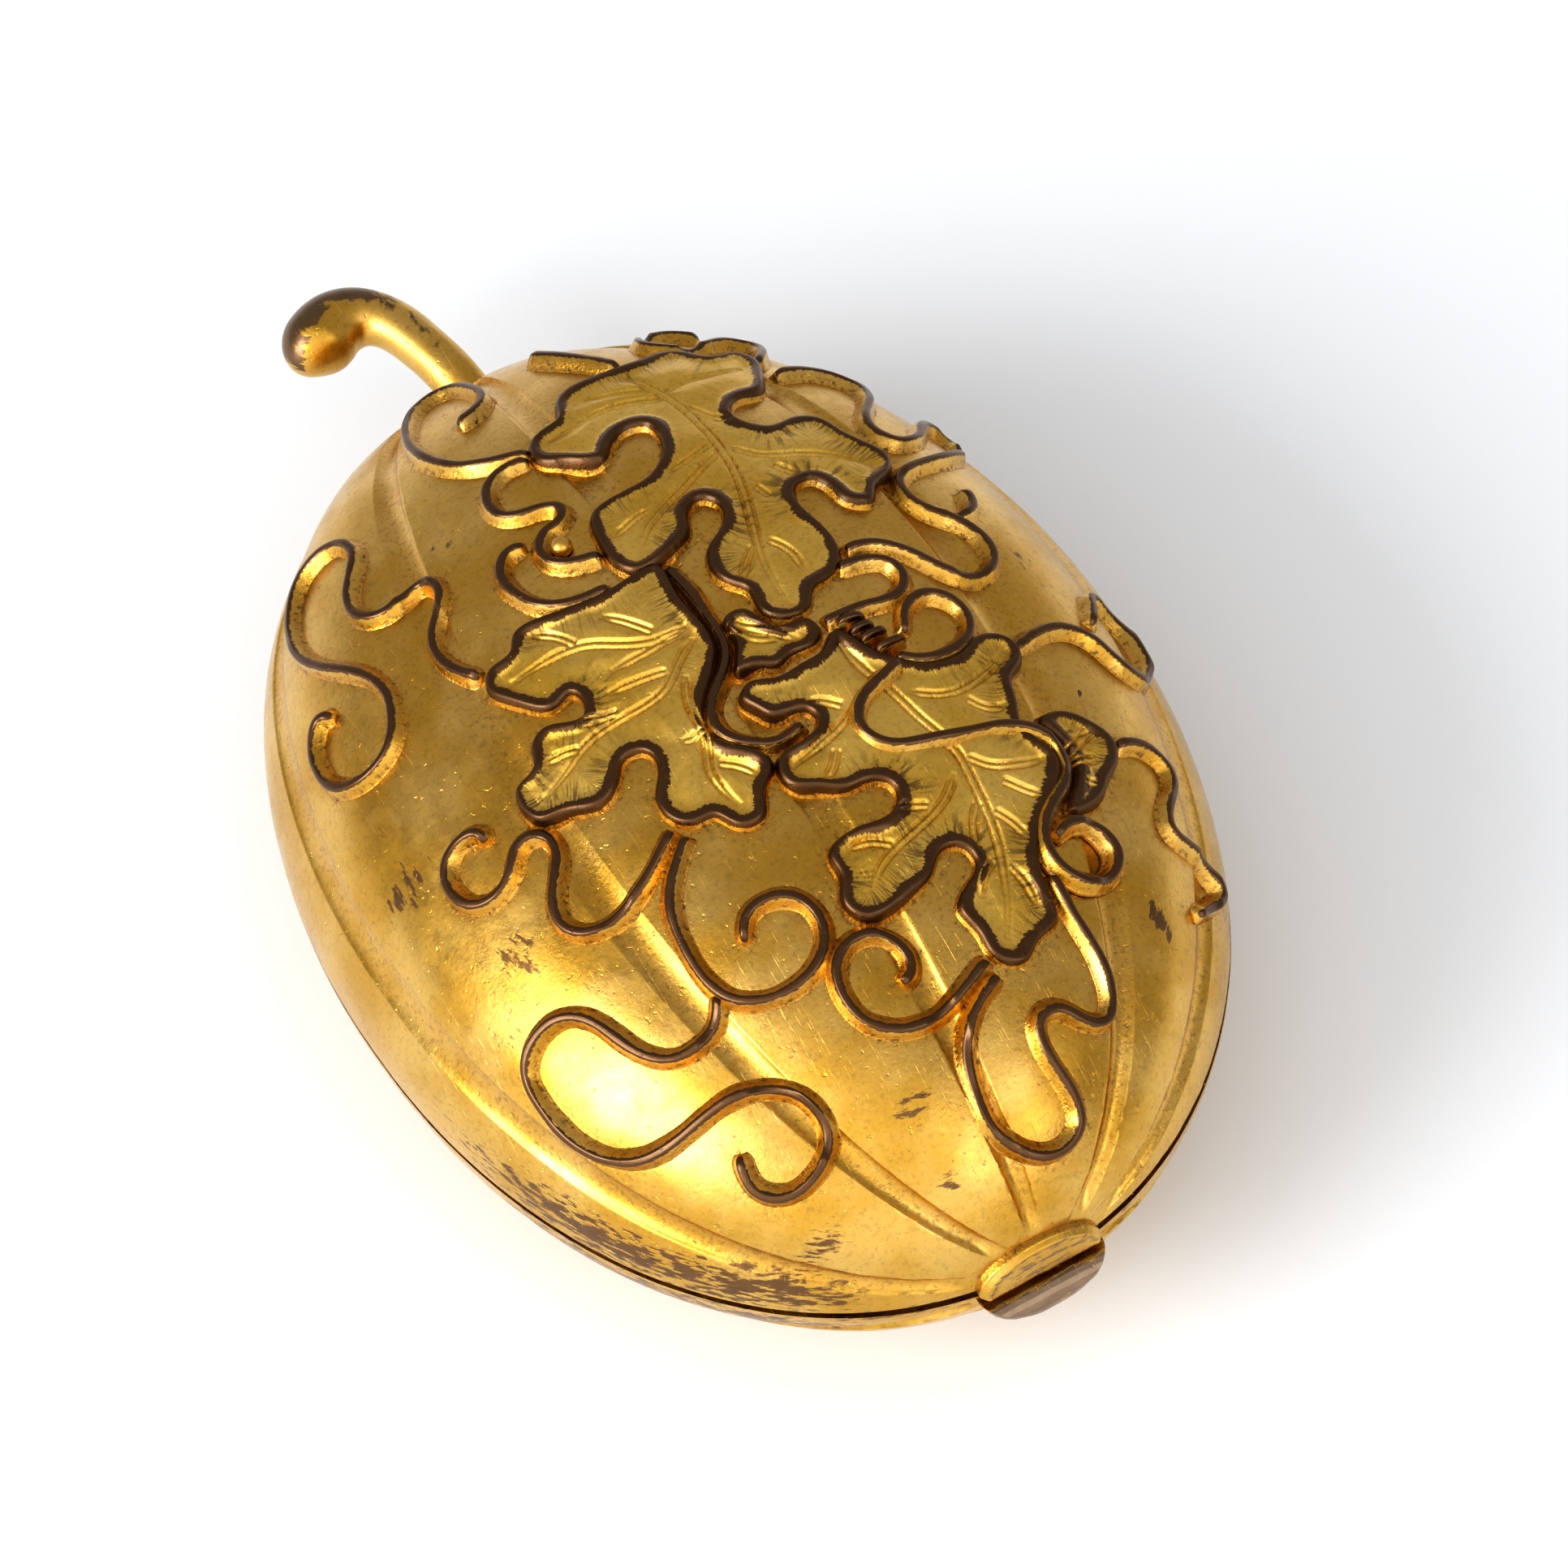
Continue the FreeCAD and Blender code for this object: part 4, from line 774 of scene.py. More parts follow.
@dataclass(frozen=True)
class Gilding:
    """Fire gilding over brass, rubbed through to brown metal where it is handled.

    Colours are linear. The mesh may carry the marks "worn" (how far the gilding is rubbed away) and
    "deep" (how far a place lies in a recess; there the colour leans orange and darker, dirt with painted
    shade).
    """

    name: str
    gold: Colour = (0.61, 0.345, 0.036)
    pale: Colour = (0.74, 0.475, 0.125)
    orange: Colour = (0.66, 0.31, 0.02)
    brown: Colour = (0.25, 0.125, 0.04)
    # Dark colour of random stains and hatching, and of the painted shade laid in recesses.
    dirt_and_shade: Colour = (0.13, 0.07, 0.025)
    lining: Colour = (0.76, 0.56, 0.22)
    dark_share: float = 0.55
    lacquer: float = 0.32
    lacquer_rough: float = 0.25
    lacquer_ior: float = 1.9
    gold_rough: float = 0.27
    brown_rough: float = 0.36
    ragged: float = 0.7
    fleck: float = 1.4
    speckle: float = 1.0
    chased: float = 0.0
    scratches: float = 1.0
    relief_depth: float = 0.02
    grain: Grain = Grain.BODY

    def make(self) -> bpy.types.Material:
        """Build the material's nodes.

        Returns:
            The finish, ready for a piece.
        """
        graph = Graph(self.name)
        place = graph.millimetres()
        worn = self.worn_mask(graph, place)
        deep = graph.mark("deep")
        tint = graph.mix(graph.step(graph.noise(place, 0.16, 4.0), 0.35, 0.68), self.gold, self.pale)
        tint = graph.mix(graph.sum("MULTIPLY", deep, 0.4), tint, self.orange)
        tint = graph.mix(graph.mark("lining"), tint, self.lining)
        # Random dark blotches, made far stronger by the deep mark, so recesses get dirt with painted shade.
        stain_and_shade = graph.step(graph.noise(place, 2.6, 6.0, 0.7), 0.48, 0.68)
        stain_and_shade = graph.sum("MULTIPLY", stain_and_shade, graph.sum("MULTIPLY_ADD", deep, 0.8, 0.24 * self.speckle))
        if self.grain is Grain.EDGE:
            stain_and_shade = graph.sum("MAXIMUM", stain_and_shade, self.hatching(graph))
        tint = graph.mix(stain_and_shade, tint, self.dirt_and_shade)
        scratch = self.scratch_mask(graph, place)
        tint = graph.mix(graph.sum("MULTIPLY", scratch, 0.35), tint, self.pale)
        dark_brown = tuple(self.dark_share * part for part in self.brown)
        patina = graph.mix(graph.noise(place, 0.9, 4.0), self.brown, dark_brown)
        colour = graph.mix(worn, tint, patina)
        graph.feed(graph.shader, "Base Color", colour)
        graph.feed(graph.shader, "Metallic", 1.0)
        graph.feed(graph.shader, "Coat Weight", self.lacquer)
        graph.feed(graph.shader, "Coat Roughness", self.lacquer_rough)
        graph.feed(graph.shader, "Coat IOR", self.lacquer_ior)
        graph.feed(graph.shader, "Roughness", self.roughness(graph, place, worn))
        graph.feed(graph.shader, "Normal", self.relief(graph, place, worn, deep, scratch))
        return graph.material

    def worn_mask(self, graph: Graph, place: Socket) -> Socket:
        """Where the gilding is gone: the worn mark with a border that noise makes ragged.

        Args:
            graph: Material to add to.
            place: Coordinates in millimetres.

        Returns:
            Socket with 1 on bare metal and 0 on gold.
        """
        cloud = graph.noise(graph.stretched(place, (0.5, 0.5, 2.4)), self.fleck, 6.0, 0.62)
        if self.grain is Grain.EDGE:
            map_node = graph.add("ShaderNodeUVMap", uv_map="grain")
            streaks = graph.noise(graph.stretched(map_node.outputs[0], (8.0, 0.8, 1.0)), 1.0, 5.0, 0.7)
            drift = graph.sum("MULTIPLY", graph.noise(place, 0.42, 2.0), 0.65)
            cloud = graph.sum("MULTIPLY_ADD", streaks, 0.55, graph.sum("SUBTRACT", drift, 0.1))
        border = graph.sum("MULTIPLY", graph.sum("SUBTRACT", cloud, 0.5), 2.0 * self.ragged)
        total = graph.sum("ADD", graph.mark("worn"), border)
        return graph.step(total, 0.44, 0.58)

    def hatching(self, graph: Graph) -> Socket:
        """Brown hatch strokes that run inwards from a leaf's rim.

        Args:
            graph: Material to add to.

        Returns:
            Socket with the strokes' strength.
        """
        strokes = graph.add("ShaderNodeUVMap", uv_map="grain").outputs[0]
        lines = graph.noise(graph.stretched(strokes, (6.5, 0.45, 1.0)), 1.0, 3.0, 0.6)
        return graph.sum("MULTIPLY", graph.step(lines, 0.48, 0.6, 0.0, 0.8), graph.mark("hatch"))

    def scratch_mask(self, graph: Graph, place: Socket) -> Socket:
        """Fine handling scratches: thin stretched noise in three directions.

        Args:
            graph: Material to add to.
            place: Coordinates in millimetres.

        Returns:
            Socket with the scratches' strength.
        """
        total = None
        for turn, length in ((28.0, 0.09), (-41.0, 0.14), (83.0, 0.11)):
            lines = graph.noise(graph.stretched(place, (7.0, length, 0.6), turn), 1.0, 2.0, 0.5)
            thin = graph.step(lines, 0.69, 0.74)
            total = thin if total is None else graph.sum("MAXIMUM", total, thin)
        return graph.sum("MULTIPLY", total, self.scratches)

    def roughness(self, graph: Graph, place: Socket, worn: Socket) -> Socket:
        """Satin gold with duller patches, and the brown metal's own gloss.

        Args:
            graph: Material to add to.
            place: Coordinates in millimetres.
            worn: Where the gilding is gone.

        Returns:
            Socket with the roughness.
        """
        patches = graph.noise(place, 0.45, 5.0, 0.6)
        gold = graph.step(patches, 0.3, 0.7, self.gold_rough - 0.05, self.gold_rough + 0.09)
        change = graph.sum("MULTIPLY", worn, graph.sum("SUBTRACT", self.brown_rough, gold))
        return graph.sum("ADD", gold, change)

    def relief(self, graph: Graph, place: Socket, worn: Socket, deep: Socket, scratch: Socket) -> Socket:
        """Fine relief: grain of the gilding, pits, punch marks in the recesses and scratches.

        Args:
            graph: Material to add to.
            place: Coordinates in millimetres.
            worn: Where the gilding is gone.
            deep: How far a place lies in a recess.
            scratch: Strength of the scratches.

        Returns:
            Socket with the bent normal.
        """
        grain = graph.noise(place, 3.2, 6.0, 0.68)
        pits = graph.step(graph.noise(place, 1.7, 2.0), 0.66, 0.76, 0.0, -1.6)
        punch = graph.noise(place, 4.5, 3.0, 0.6)
        rough_ground = graph.sum("MULTIPLY", graph.sum("MULTIPLY_ADD", deep, 3.0, self.chased), punch)
        height = graph.sum("ADD", graph.sum("ADD", grain, pits), rough_ground)
        height = graph.sum("SUBTRACT", height, graph.sum("MULTIPLY", scratch, 0.5))
        height = graph.sum("SUBTRACT", height, graph.sum("MULTIPLY", worn, 0.6))
        bump = graph.add("ShaderNodeBump")
        graph.feed(bump, "Strength", 1.0)
        graph.feed(bump, "Distance", self.relief_depth * MM)
        graph.feed(bump, "Height", height)
        return bump.outputs[0]


# ---------------------------------------------------------------- shells

@dataclass(frozen=True)
class WornPatch:
    """Rubbed place on a shell, seen from above: middle, half sizes and strength."""

    across: float
    along: float
    half_across: float
    half_along: float
    strength: float


@dataclass
class Shell:
    """One half of the melon: fluted skin, inner face and the rim between, closed at both poles."""

    melon: Melon
    flutes: Flutes
    patches: Tuple[WornPatch, ...]
    vine_places: Optional[Array] = None
    lengthways: int = 262
    pressed: float = 0.05
    hammered: float = 0.035
    hammer_reach: float = 17.0
    dents: float = 0.012
    dent_reach: float = 5.5
    ground_reach: float = 0.75
    rim_wear: float = 0.6
    rim_middle: float = 2.0
    rim_spread: float = 2.8
    edge_wear: float = 0.42
    edge_spread: float = 0.7
    notch_half: float = 4.65
    notch_depth: float = 1.35
    notch_from: float = 37.0
    foot_inset: float = 0.5

    def build(self, material: bpy.types.Material) -> bpy.types.Object:
        """Make the shell.

        Formula: at an angle f from -90 to 90 degrees the ring stands at y = half length * sin f; round
        it, the skin's point at angle t is (width * girth * cos t, y, rise * girth * sin t). The
        inner face is the same with every half size less the wall, run back the other way.

        Args:
            material: The gilding.

        Returns:
            The shell's object.
        """
        name = "lid_melon" if self.melon.half is Half.LID else "base_melon"
        node = "lid_shell" if self.melon.half is Half.LID else "base_shell"
        turns = self.flutes.stations()
        outer, worn, deep = self.skin(turns)
        inner = self.lining(turns[::-1][::5])
        rings = self.trimmed(np.concatenate([outer, inner], axis=1))
        plain = np.zeros(inner.shape[:2])
        marks = {
            "worn": np.concatenate([worn, plain], axis=1),
            "deep": np.concatenate([deep, plain], axis=1),
            "lining": np.concatenate([np.zeros(outer.shape[:2]), plain + 1.0], axis=1),
        }
        return make_piece(name, tube(rings, marks), self.melon.half, material, (node,), 50.0)

    def stations_along(self) -> Array:
        """Places along Y from pole to pole, closer together towards the poles."""
        return np.sin(np.linspace(-math.pi / 2, math.pi / 2, self.lengthways))

    def skin(self, turns: Array) -> Tuple[Array, Array, Array]:
        """Outer face with its flutes, dents and marks.

        Args:
            turns: Angles round the Y axis, in degrees.

        Returns:
            Points, worn marks and deep marks, as (station along Y, angle).
        """
        melon = self.melon
        along = (melon.half_length * self.stations_along())[:, None]
        girth = melon.girth(along)
        angle = np.radians(turns)[None, :]
        even = np.stack([
            melon.half_width * girth * np.cos(angle),
            np.broadcast_to(along, (len(along), len(turns))),
            melon.side * melon.rise * girth * np.sin(angle),
        ], axis=-1)
        poles = girth < 1e-6
        safe = np.where(poles[..., None], np.array([0.0, 1.0, 0.0]) * np.sign(along)[..., None], even)
        normal = melon.onto(safe)[1]
        gap = self.vine_gap(even)
        dip = self.flutes.dip(even) + self.pressed * np.exp(-(gap / 0.7) ** 2)
        dip += self.hammered * (1.0 + ripple(even, self.hammer_reach, 1.3))
        dip += self.dents * (1.0 + ripple(even, self.dent_reach, 4.1))
        dip *= smoothstep(melon.half_length, melon.half_length - 0.6, np.abs(along))
        points = even - normal * dip[..., None]
        # Deep round the vine and in the flutes: the finish darkens these places, dirt with painted shade.
        deep = 0.75 * np.exp(-(gap / self.ground_reach) ** 2)
        channel = np.clip(self.flutes.dip(even) / self.flutes.depth - 0.5, 0.0, 1.0)
        return points, self.wear(even), np.maximum(deep, 0.35 * channel)

    def vine_gap(self, points: Array) -> Array:
        """Distance from each point to the nearest part of the vine, seen from above.

        Args:
            points: Points of the skin.

        Returns:
            Distance in millimetres for each point; far away on a half without a vine.
        """
        if self.vine_places is None:
            return np.full(points.shape[:-1], 99.0)
        flat = points[..., :2].reshape(-1, 2)
        return nearest(flat, self.vine_places, 2500)[0].reshape(points.shape[:-1])

    def wear(self, points: Array) -> Array:
        """Worn mark: listed patches, and the rim where fingers open the case.

        Formula: each patch is a bell (1 at its middle) over an ellipse; the rim's mark is a bell in the
        height above the seam, with a narrow one right at the edge.

        Args:
            points: Points of the skin.

        Returns:
            One number for each point.
        """
        worn = np.zeros(points.shape[:-1])
        for patch in self.patches:
            out = ((points[..., 0] - patch.across) / patch.half_across) ** 2
            out += ((points[..., 1] - patch.along) / patch.half_along) ** 2
            worn = np.maximum(worn, patch.strength * np.exp(-out))
        height = np.abs(points[..., 2])
        front_left = smoothstep(-4.0, -16.0, points[..., 0]) * smoothstep(2.0, -22.0, points[..., 1])
        rim = self.rim_wear * np.exp(-((height - self.rim_middle) / self.rim_spread) ** 2) * front_left
        edge = self.edge_wear * np.exp(-(height / self.edge_spread) ** 2)
        return np.maximum(worn, np.maximum(rim, edge))

    def lining(self, turns: Array) -> Array:
        """Inner face, plain and even.

        Args:
            turns: Angles round the Y axis, in degrees.

        Returns:
            Points, as (station along Y, angle, three numbers).
        """
        melon = self.melon
        along = self.stations_along()[:, None]
        girth = (1.0 - np.abs(along) ** melon.power) ** (1.0 / melon.power)
        angle = np.radians(turns)[None, :]
        return np.stack([
            (melon.half_width - melon.wall) * girth * np.cos(angle),
            np.broadcast_to((melon.half_length - melon.wall) * along, (len(along), len(turns))),
            melon.side * (melon.rise - melon.wall) * girth * np.sin(angle),
        ], axis=-1)

    def trimmed(self, rings: Array) -> Array:
        """Cut the rim level, leave the notch for the hinge and grind the foot flat.

        Args:
            rings: Points of the whole half; their heights are changed in place.

        Returns:
            The same points.
        """
        height = self.melon.side * rings[..., 2]
        if self.melon.half is Half.LID:
            height = np.maximum(height, SEAM_GAP)
        else:
            height = np.clip(height, 0.0, self.melon.base_depth - self.foot_inset)
        at_hinge = (np.abs(rings[..., 0]) < self.notch_half) & (rings[..., 1] > self.notch_from)
        height = np.where(at_hinge, np.maximum(height, self.notch_depth), height)
        rings[..., 2] = self.melon.side * height
        return rings


# ---------------------------------------------------------------- the vine

@dataclass
class Wire:
    """Tendril: a round-topped wire whose feet run out into the lid."""

    points: Points
    melon: Melon
    flutes: Flutes
    rise: float = 0.84
    crest: float = 0.1
    reach: float = 0.78
    tip: float = 0.8
    lift: float = 0.0
    seed: float = 0.0
    sunk: float = 0.06
    buried: float = 0.25
    step: float = 0.2
    facets: int = 25

    def surface(self) -> Surface:
        """Carry the profile along the tendril.

        Formula: a place t to the side of the middle stands rise * (half + half cosine)^0.85 above the
        lid, flat within the crest and down to nothing at the reach; both ends round off.

        Returns:
            Closed skin of the wire.
        """
        plan = smooth_curve(self.points, self.step)
        middle, normal = self.melon.onto(self.melon.over(plan[:, 0], plan[:, 1]))
        heading = np.gradient(middle, axis=0)
        sideways = np.cross(normal, heading)
        sideways /= np.linalg.norm(sideways, axis=1, keepdims=True)
        run = np.concatenate([[0.0], np.cumsum(np.linalg.norm(np.diff(middle, axis=0), axis=1))])
        end = np.minimum(run, run[-1] - run)
        fade = np.sqrt(np.clip(1.0 - (1.0 - end / self.tip) ** 2 * (end < self.tip), 0.02, 1.0))
        waver = 1.0 + 0.05 * np.sin(run * 0.9 + self.seed) + 0.02 * np.sin(run * 2.3 + 2.0 * self.seed)
        across = self.reach * np.linspace(-1.0, 1.0, self.facets)
        height = self.profile(np.abs(across))
        width = (0.55 + 0.45 * fade) * waver
        foot = middle[:, None, :] + sideways[:, None, :] * (across[None, :] * width[:, None])[..., None]
        skin, out = self.melon.onto(foot)
        rise = height[None, :] * (fade * (0.5 + 0.5 * waver))[:, None] + self.lift
        rise += 0.012 * ripple(skin, 2.2, self.seed + 1.0) * (height > 0.3)[None, :]
        rise -= self.flutes.dip(skin) + self.sunk
        top = skin + out * rise[..., None]
        under = np.stack([top[:, -1] - out[:, -1] * self.buried, top[:, 0] - out[:, 0] * self.buried], axis=1)
        return ended(np.concatenate([top, under], axis=1), self.marks(across, fade, run))

    def profile(self, out: Array) -> Array:
        """Height of the wire at a distance from its middle."""
        share = np.clip((out - self.crest) / (self.reach - self.crest), 0.0, 1.0)
        return self.rise * (0.5 + 0.5 * np.cos(math.pi * share)) ** 0.85

    def marks(self, across: Array, fade: Array, run: Array) -> Dict[str, Array]:
        """Worn along the crest, deep along both feet, which the finish darkens with dirt and painted shade.

        Args:
            across: Places to the side of the middle.
            fade: How far each ring is from closing at an end.
            run: Distance of each ring along the wire.

        Returns:
            Both marks, as (ring, place round it), with the two buried points last.
        """
        out = np.abs(across)[None, :]
        patchy = 1.0 + 0.12 * np.sin(run * 0.8 + self.seed)[:, None]
        worn = smoothstep(0.5, 0.12, out) * patchy * np.clip(fade * 1.3, 0.0, 1.0)[:, None]
        # Deep along the feet: painted shade with dirt where the wire meets the lid.
        deep = np.broadcast_to(smoothstep(0.35, 0.65, out), worn.shape)
        blank = np.zeros((len(run), 2))
        return {
            "worn": np.concatenate([worn, blank], axis=1),
            "deep": np.concatenate([deep, blank + 1.0], axis=1),
        }


@dataclass
class Leaf:
    """Vine leaf: a dished plate with a raised lobed rim and engraved double veins."""

    outline: Points
    veins: Sequence[Points]
    melon: Melon
    flutes: Flutes
    pitch: float = 0.091
    rim: float = 0.68
    dish: float = 0.46
    flank: float = 0.42
    fold: float = 0.2
    vein_depth: float = 0.24
    vein_half: float = 0.19
    sunk: float = 0.06
    step: float = 0.08

    def surface(self) -> Surface:
        """Lay a fine grid over the leaf and lift it by a height that follows the distance to its edge.

        Formula: with d the distance inside the outline, the height climbs from below the lid to the rim
        between d = -flank and 0.15, falls to the dish by d = 1.1 and is cut by the veins.

        Returns:
            Skin of the leaf, its edge buried in the lid.
        """
        edge = smooth_curve(self.outline, self.step, closed=True)
        low = edge.min(axis=0) - 0.6
        high = edge.max(axis=0) + 0.6
        columns = np.arange(low[0], high[0], self.pitch)
        rows = np.arange(low[1], high[1], self.pitch)
        across, along = np.meshgrid(columns, rows)
        grid = np.stack([across.ravel(), along.ravel()], axis=1)
        inset, run = self.inset(grid, edge)
        keep = self.kept_faces(inset.reshape(across.shape))
        used, faces = np.unique(keep, return_inverse=True)
        faces = faces.reshape(keep.shape)
        grid, inset, run = grid[used], inset[used], run[used]
        vein, valley = self.engraving(grid)
        skin, out = self.melon.onto(self.melon.over(grid[:, 0], grid[:, 1]))
        height = self.height(inset) - self.vein_depth * vein
        height -= self.fold * valley * smoothstep(0.2, 1.0, inset)
        height -= self.flutes.dip(skin) * smoothstep(0.4, -0.2, inset) + self.sunk
        height += 0.02 * ripple(skin, 3.1, 0.7)
        points = skin + out * height[:, None]
        marks = {
            "worn": smoothstep(1.25, 0.25, inset) * smoothstep(-0.22, 0.0, inset) * (1.0 - 0.7 * vein),
            # Deep at the foot of the rim and in the veins: painted shade with dirt in the finish.
            "deep": np.maximum(smoothstep(0.12, -0.08, inset), 0.25 * vein),
            "hatch": smoothstep(3.4, 0.6, inset) * smoothstep(-0.25, 0.45, ripple(skin, 13.0, 2.6)),
        }
        return Surface(points, faces, marks, np.stack([run, inset], axis=1))

    def inset(self, grid: Array, edge: Array) -> Tuple[Array, Array]:
        """Distance inside the outline, and how far along the outline its nearest point lies.

        Args:
            grid: Places seen from above.
            edge: Samples of the outline.

        Returns:
            Both distances in millimetres; the first is negative outside.
        """
        far, index = nearest(grid, edge, 1500)
        ahead = np.roll(edge, -1, axis=0) - np.roll(edge, 1, axis=0)
        ahead /= np.linalg.norm(ahead, axis=1, keepdims=True)
        area = np.sum(edge[:, 0] * np.roll(edge[:, 1], -1) - edge[:, 1] * np.roll(edge[:, 0], -1))
        inward = np.sign(area) * np.stack([-ahead[:, 1], ahead[:, 0]], axis=1)
        depth = np.sum((grid - edge[index]) * inward[index], axis=1)
        signed = np.where(far < 0.5, depth, np.sign(depth) * far)
        return signed, index * self.step

    def kept_faces(self, inset: Array) -> Array:
        """Quads of the grid that reach into the leaf or its flank.

        Args:
            inset: Distance inside the outline, as (row, column).

        Returns:
            Four grid indices for each quad.
        """
        rows, columns = inset.shape
        index = np.arange(rows * columns).reshape(rows, columns)
        corners = np.stack([index[:-1, :-1], index[:-1, 1:], index[1:, 1:], index[1:, :-1]], axis=-1)
        deepest = np.max(inset.ravel()[corners], axis=-1)
        return corners[deepest > -self.flank - 0.05]

    def height(self, inset: Array) -> Array:
        """Height above the lid at a distance inside the outline.

        Args:
            inset: The distance, negative outside.

        Returns:
            Heights before the veins are cut.
        """
        climb = smoothstep(-self.flank, 0.16, inset)
        bowl = smoothstep(0.35, 1.15, inset)
        swell = 0.17 * smoothstep(1.0, 3.0, inset)
        return (self.rim + 0.2) * climb - 0.2 - (self.rim - self.dish) * bowl + swell

    def engraving(self, grid: Array) -> Tuple[Array, Array]:
        """Depth of the engraving: two cuts side by side along each vein, in a soft valley.

        Args:
            grid: Places seen from above.

        Returns:
            Depth of the cuts and of the valleys, each from 0 to 1.
        """
        cut = np.zeros(len(grid))
        valley = np.zeros(len(grid))
        for number, points in enumerate(self.veins):
            line = smooth_curve(points, self.step)
            gauge = 0.27 if number == 0 else 0.23
            box = np.all((grid > line.min(axis=0) - 2.0) & (grid < line.max(axis=0) + 2.0), axis=1)
            chosen = np.flatnonzero(box)
            far, index = nearest(grid[chosen], line)
            share = index / (len(line) - 1)
            taper = smoothstep(0.0, 0.08, share) * smoothstep(1.0, 0.7, share)
            spread = gauge * (0.35 + 0.65 * taper)
            groove = np.maximum(1.0 - np.abs(far - spread) / self.vein_half, 0.0) * (0.4 + 0.6 * taper)
            groove *= (share > 0.0) & (share < 1.0)
            cut[chosen] = np.maximum(cut[chosen], groove)
            valley[chosen] = np.maximum(valley[chosen], np.exp(-(far / 0.95) ** 2))
        return cut, valley


@dataclass
class Vine:
    """Everything that is applied to the lid: stalk, leaves, tendrils and the binding."""

    melon: Melon
    flutes: Flutes
    lifted: Dict[str, float] = field(default_factory=lambda: {"tendril_leaf_crossing": 0.3})
    stalk_share: float = 1.15
    leaf_back: float = 0.12
    turn_rise: float = 1.25
    turn_crest: float = 0.12
    turn_reach: float = 0.55

    def places(self) -> Array:
        """Points along every tendril and leaf edge, seen from above.

        Returns:
            One row of two numbers for each point.
        """
        lines = [smooth_curve(points, 0.3) for points in TENDRILS.values()]
        lines += [smooth_curve(points, 0.4, closed=True) for points in LEAVES.values()]
        return np.concatenate(lines)

    def build(self, wire: bpy.types.Material, leaf: bpy.types.Material) -> None:
        """Make every piece of the vine.

        Args:
            wire: Finish of the tendrils.
            leaf: Finish of the leaves.
        """
        for number, (name, points) in enumerate(TENDRILS.items()):
            stout = self.stalk_share if name == "vine_stalk" else 1.0
            made = Wire(points, self.melon, self.flutes, rise=Wire.rise * stout, reach=Wire.reach * stout,
                        lift=self.lifted.get(name, 0.0), seed=1.7 * number)
            make_piece("gilt_" + name, made.surface(), Half.LID, wire, (name,), 80.0)
        for name, outline in LEAVES.items():
            made = Leaf(outline, VEINS[name], self.melon, self.flutes)
            piece = make_piece("chased_" + name, made.surface(), Half.LID, leaf, (name,), 80.0)
            back = piece.modifiers.new("back", "SOLIDIFY")
            back.thickness = self.leaf_back * MM
            back.offset = -1.0
        self.build_binding(wire)

    def build_binding(self, wire: bpy.types.Material) -> None:
        """Make the turns of the binding as one piece.

        Args:
            wire: Finish of the turns.
        """
        parts = []
        for number, (start, finish) in enumerate(BINDING):
            middle = ((start[0] + finish[0]) / 2, (start[1] + finish[1]) / 2)
            turn = Wire((start, middle, finish), self.melon, self.flutes, rise=self.turn_rise,
                        crest=self.turn_crest, reach=self.turn_reach, seed=0.9 * number)
            parts.append(turn.surface())
        make_piece("gilt_stalk_binding", joined(parts), Half.LID, wire, ("stalk_binding",), 80.0)


def joined(parts: Sequence[Surface]) -> Surface:
    """Put several surfaces into one, each keeping its own faces.

    Args:
        parts: Surfaces that carry the same marks.

    Returns:
        The surface that holds them all.
    """
    starts = np.cumsum([0] + [len(part.points) for part in parts[:-1]])
    faces = np.concatenate([part.faces + start for part, start in zip(parts, starts)])
    marks = {name: np.concatenate([part.marks[name] for part in parts]) for name in parts[0].marks}
    return Surface(np.concatenate([part.points for part in parts]), faces, marks)


# ---------------------------------------------------------------- stem and blossom boss

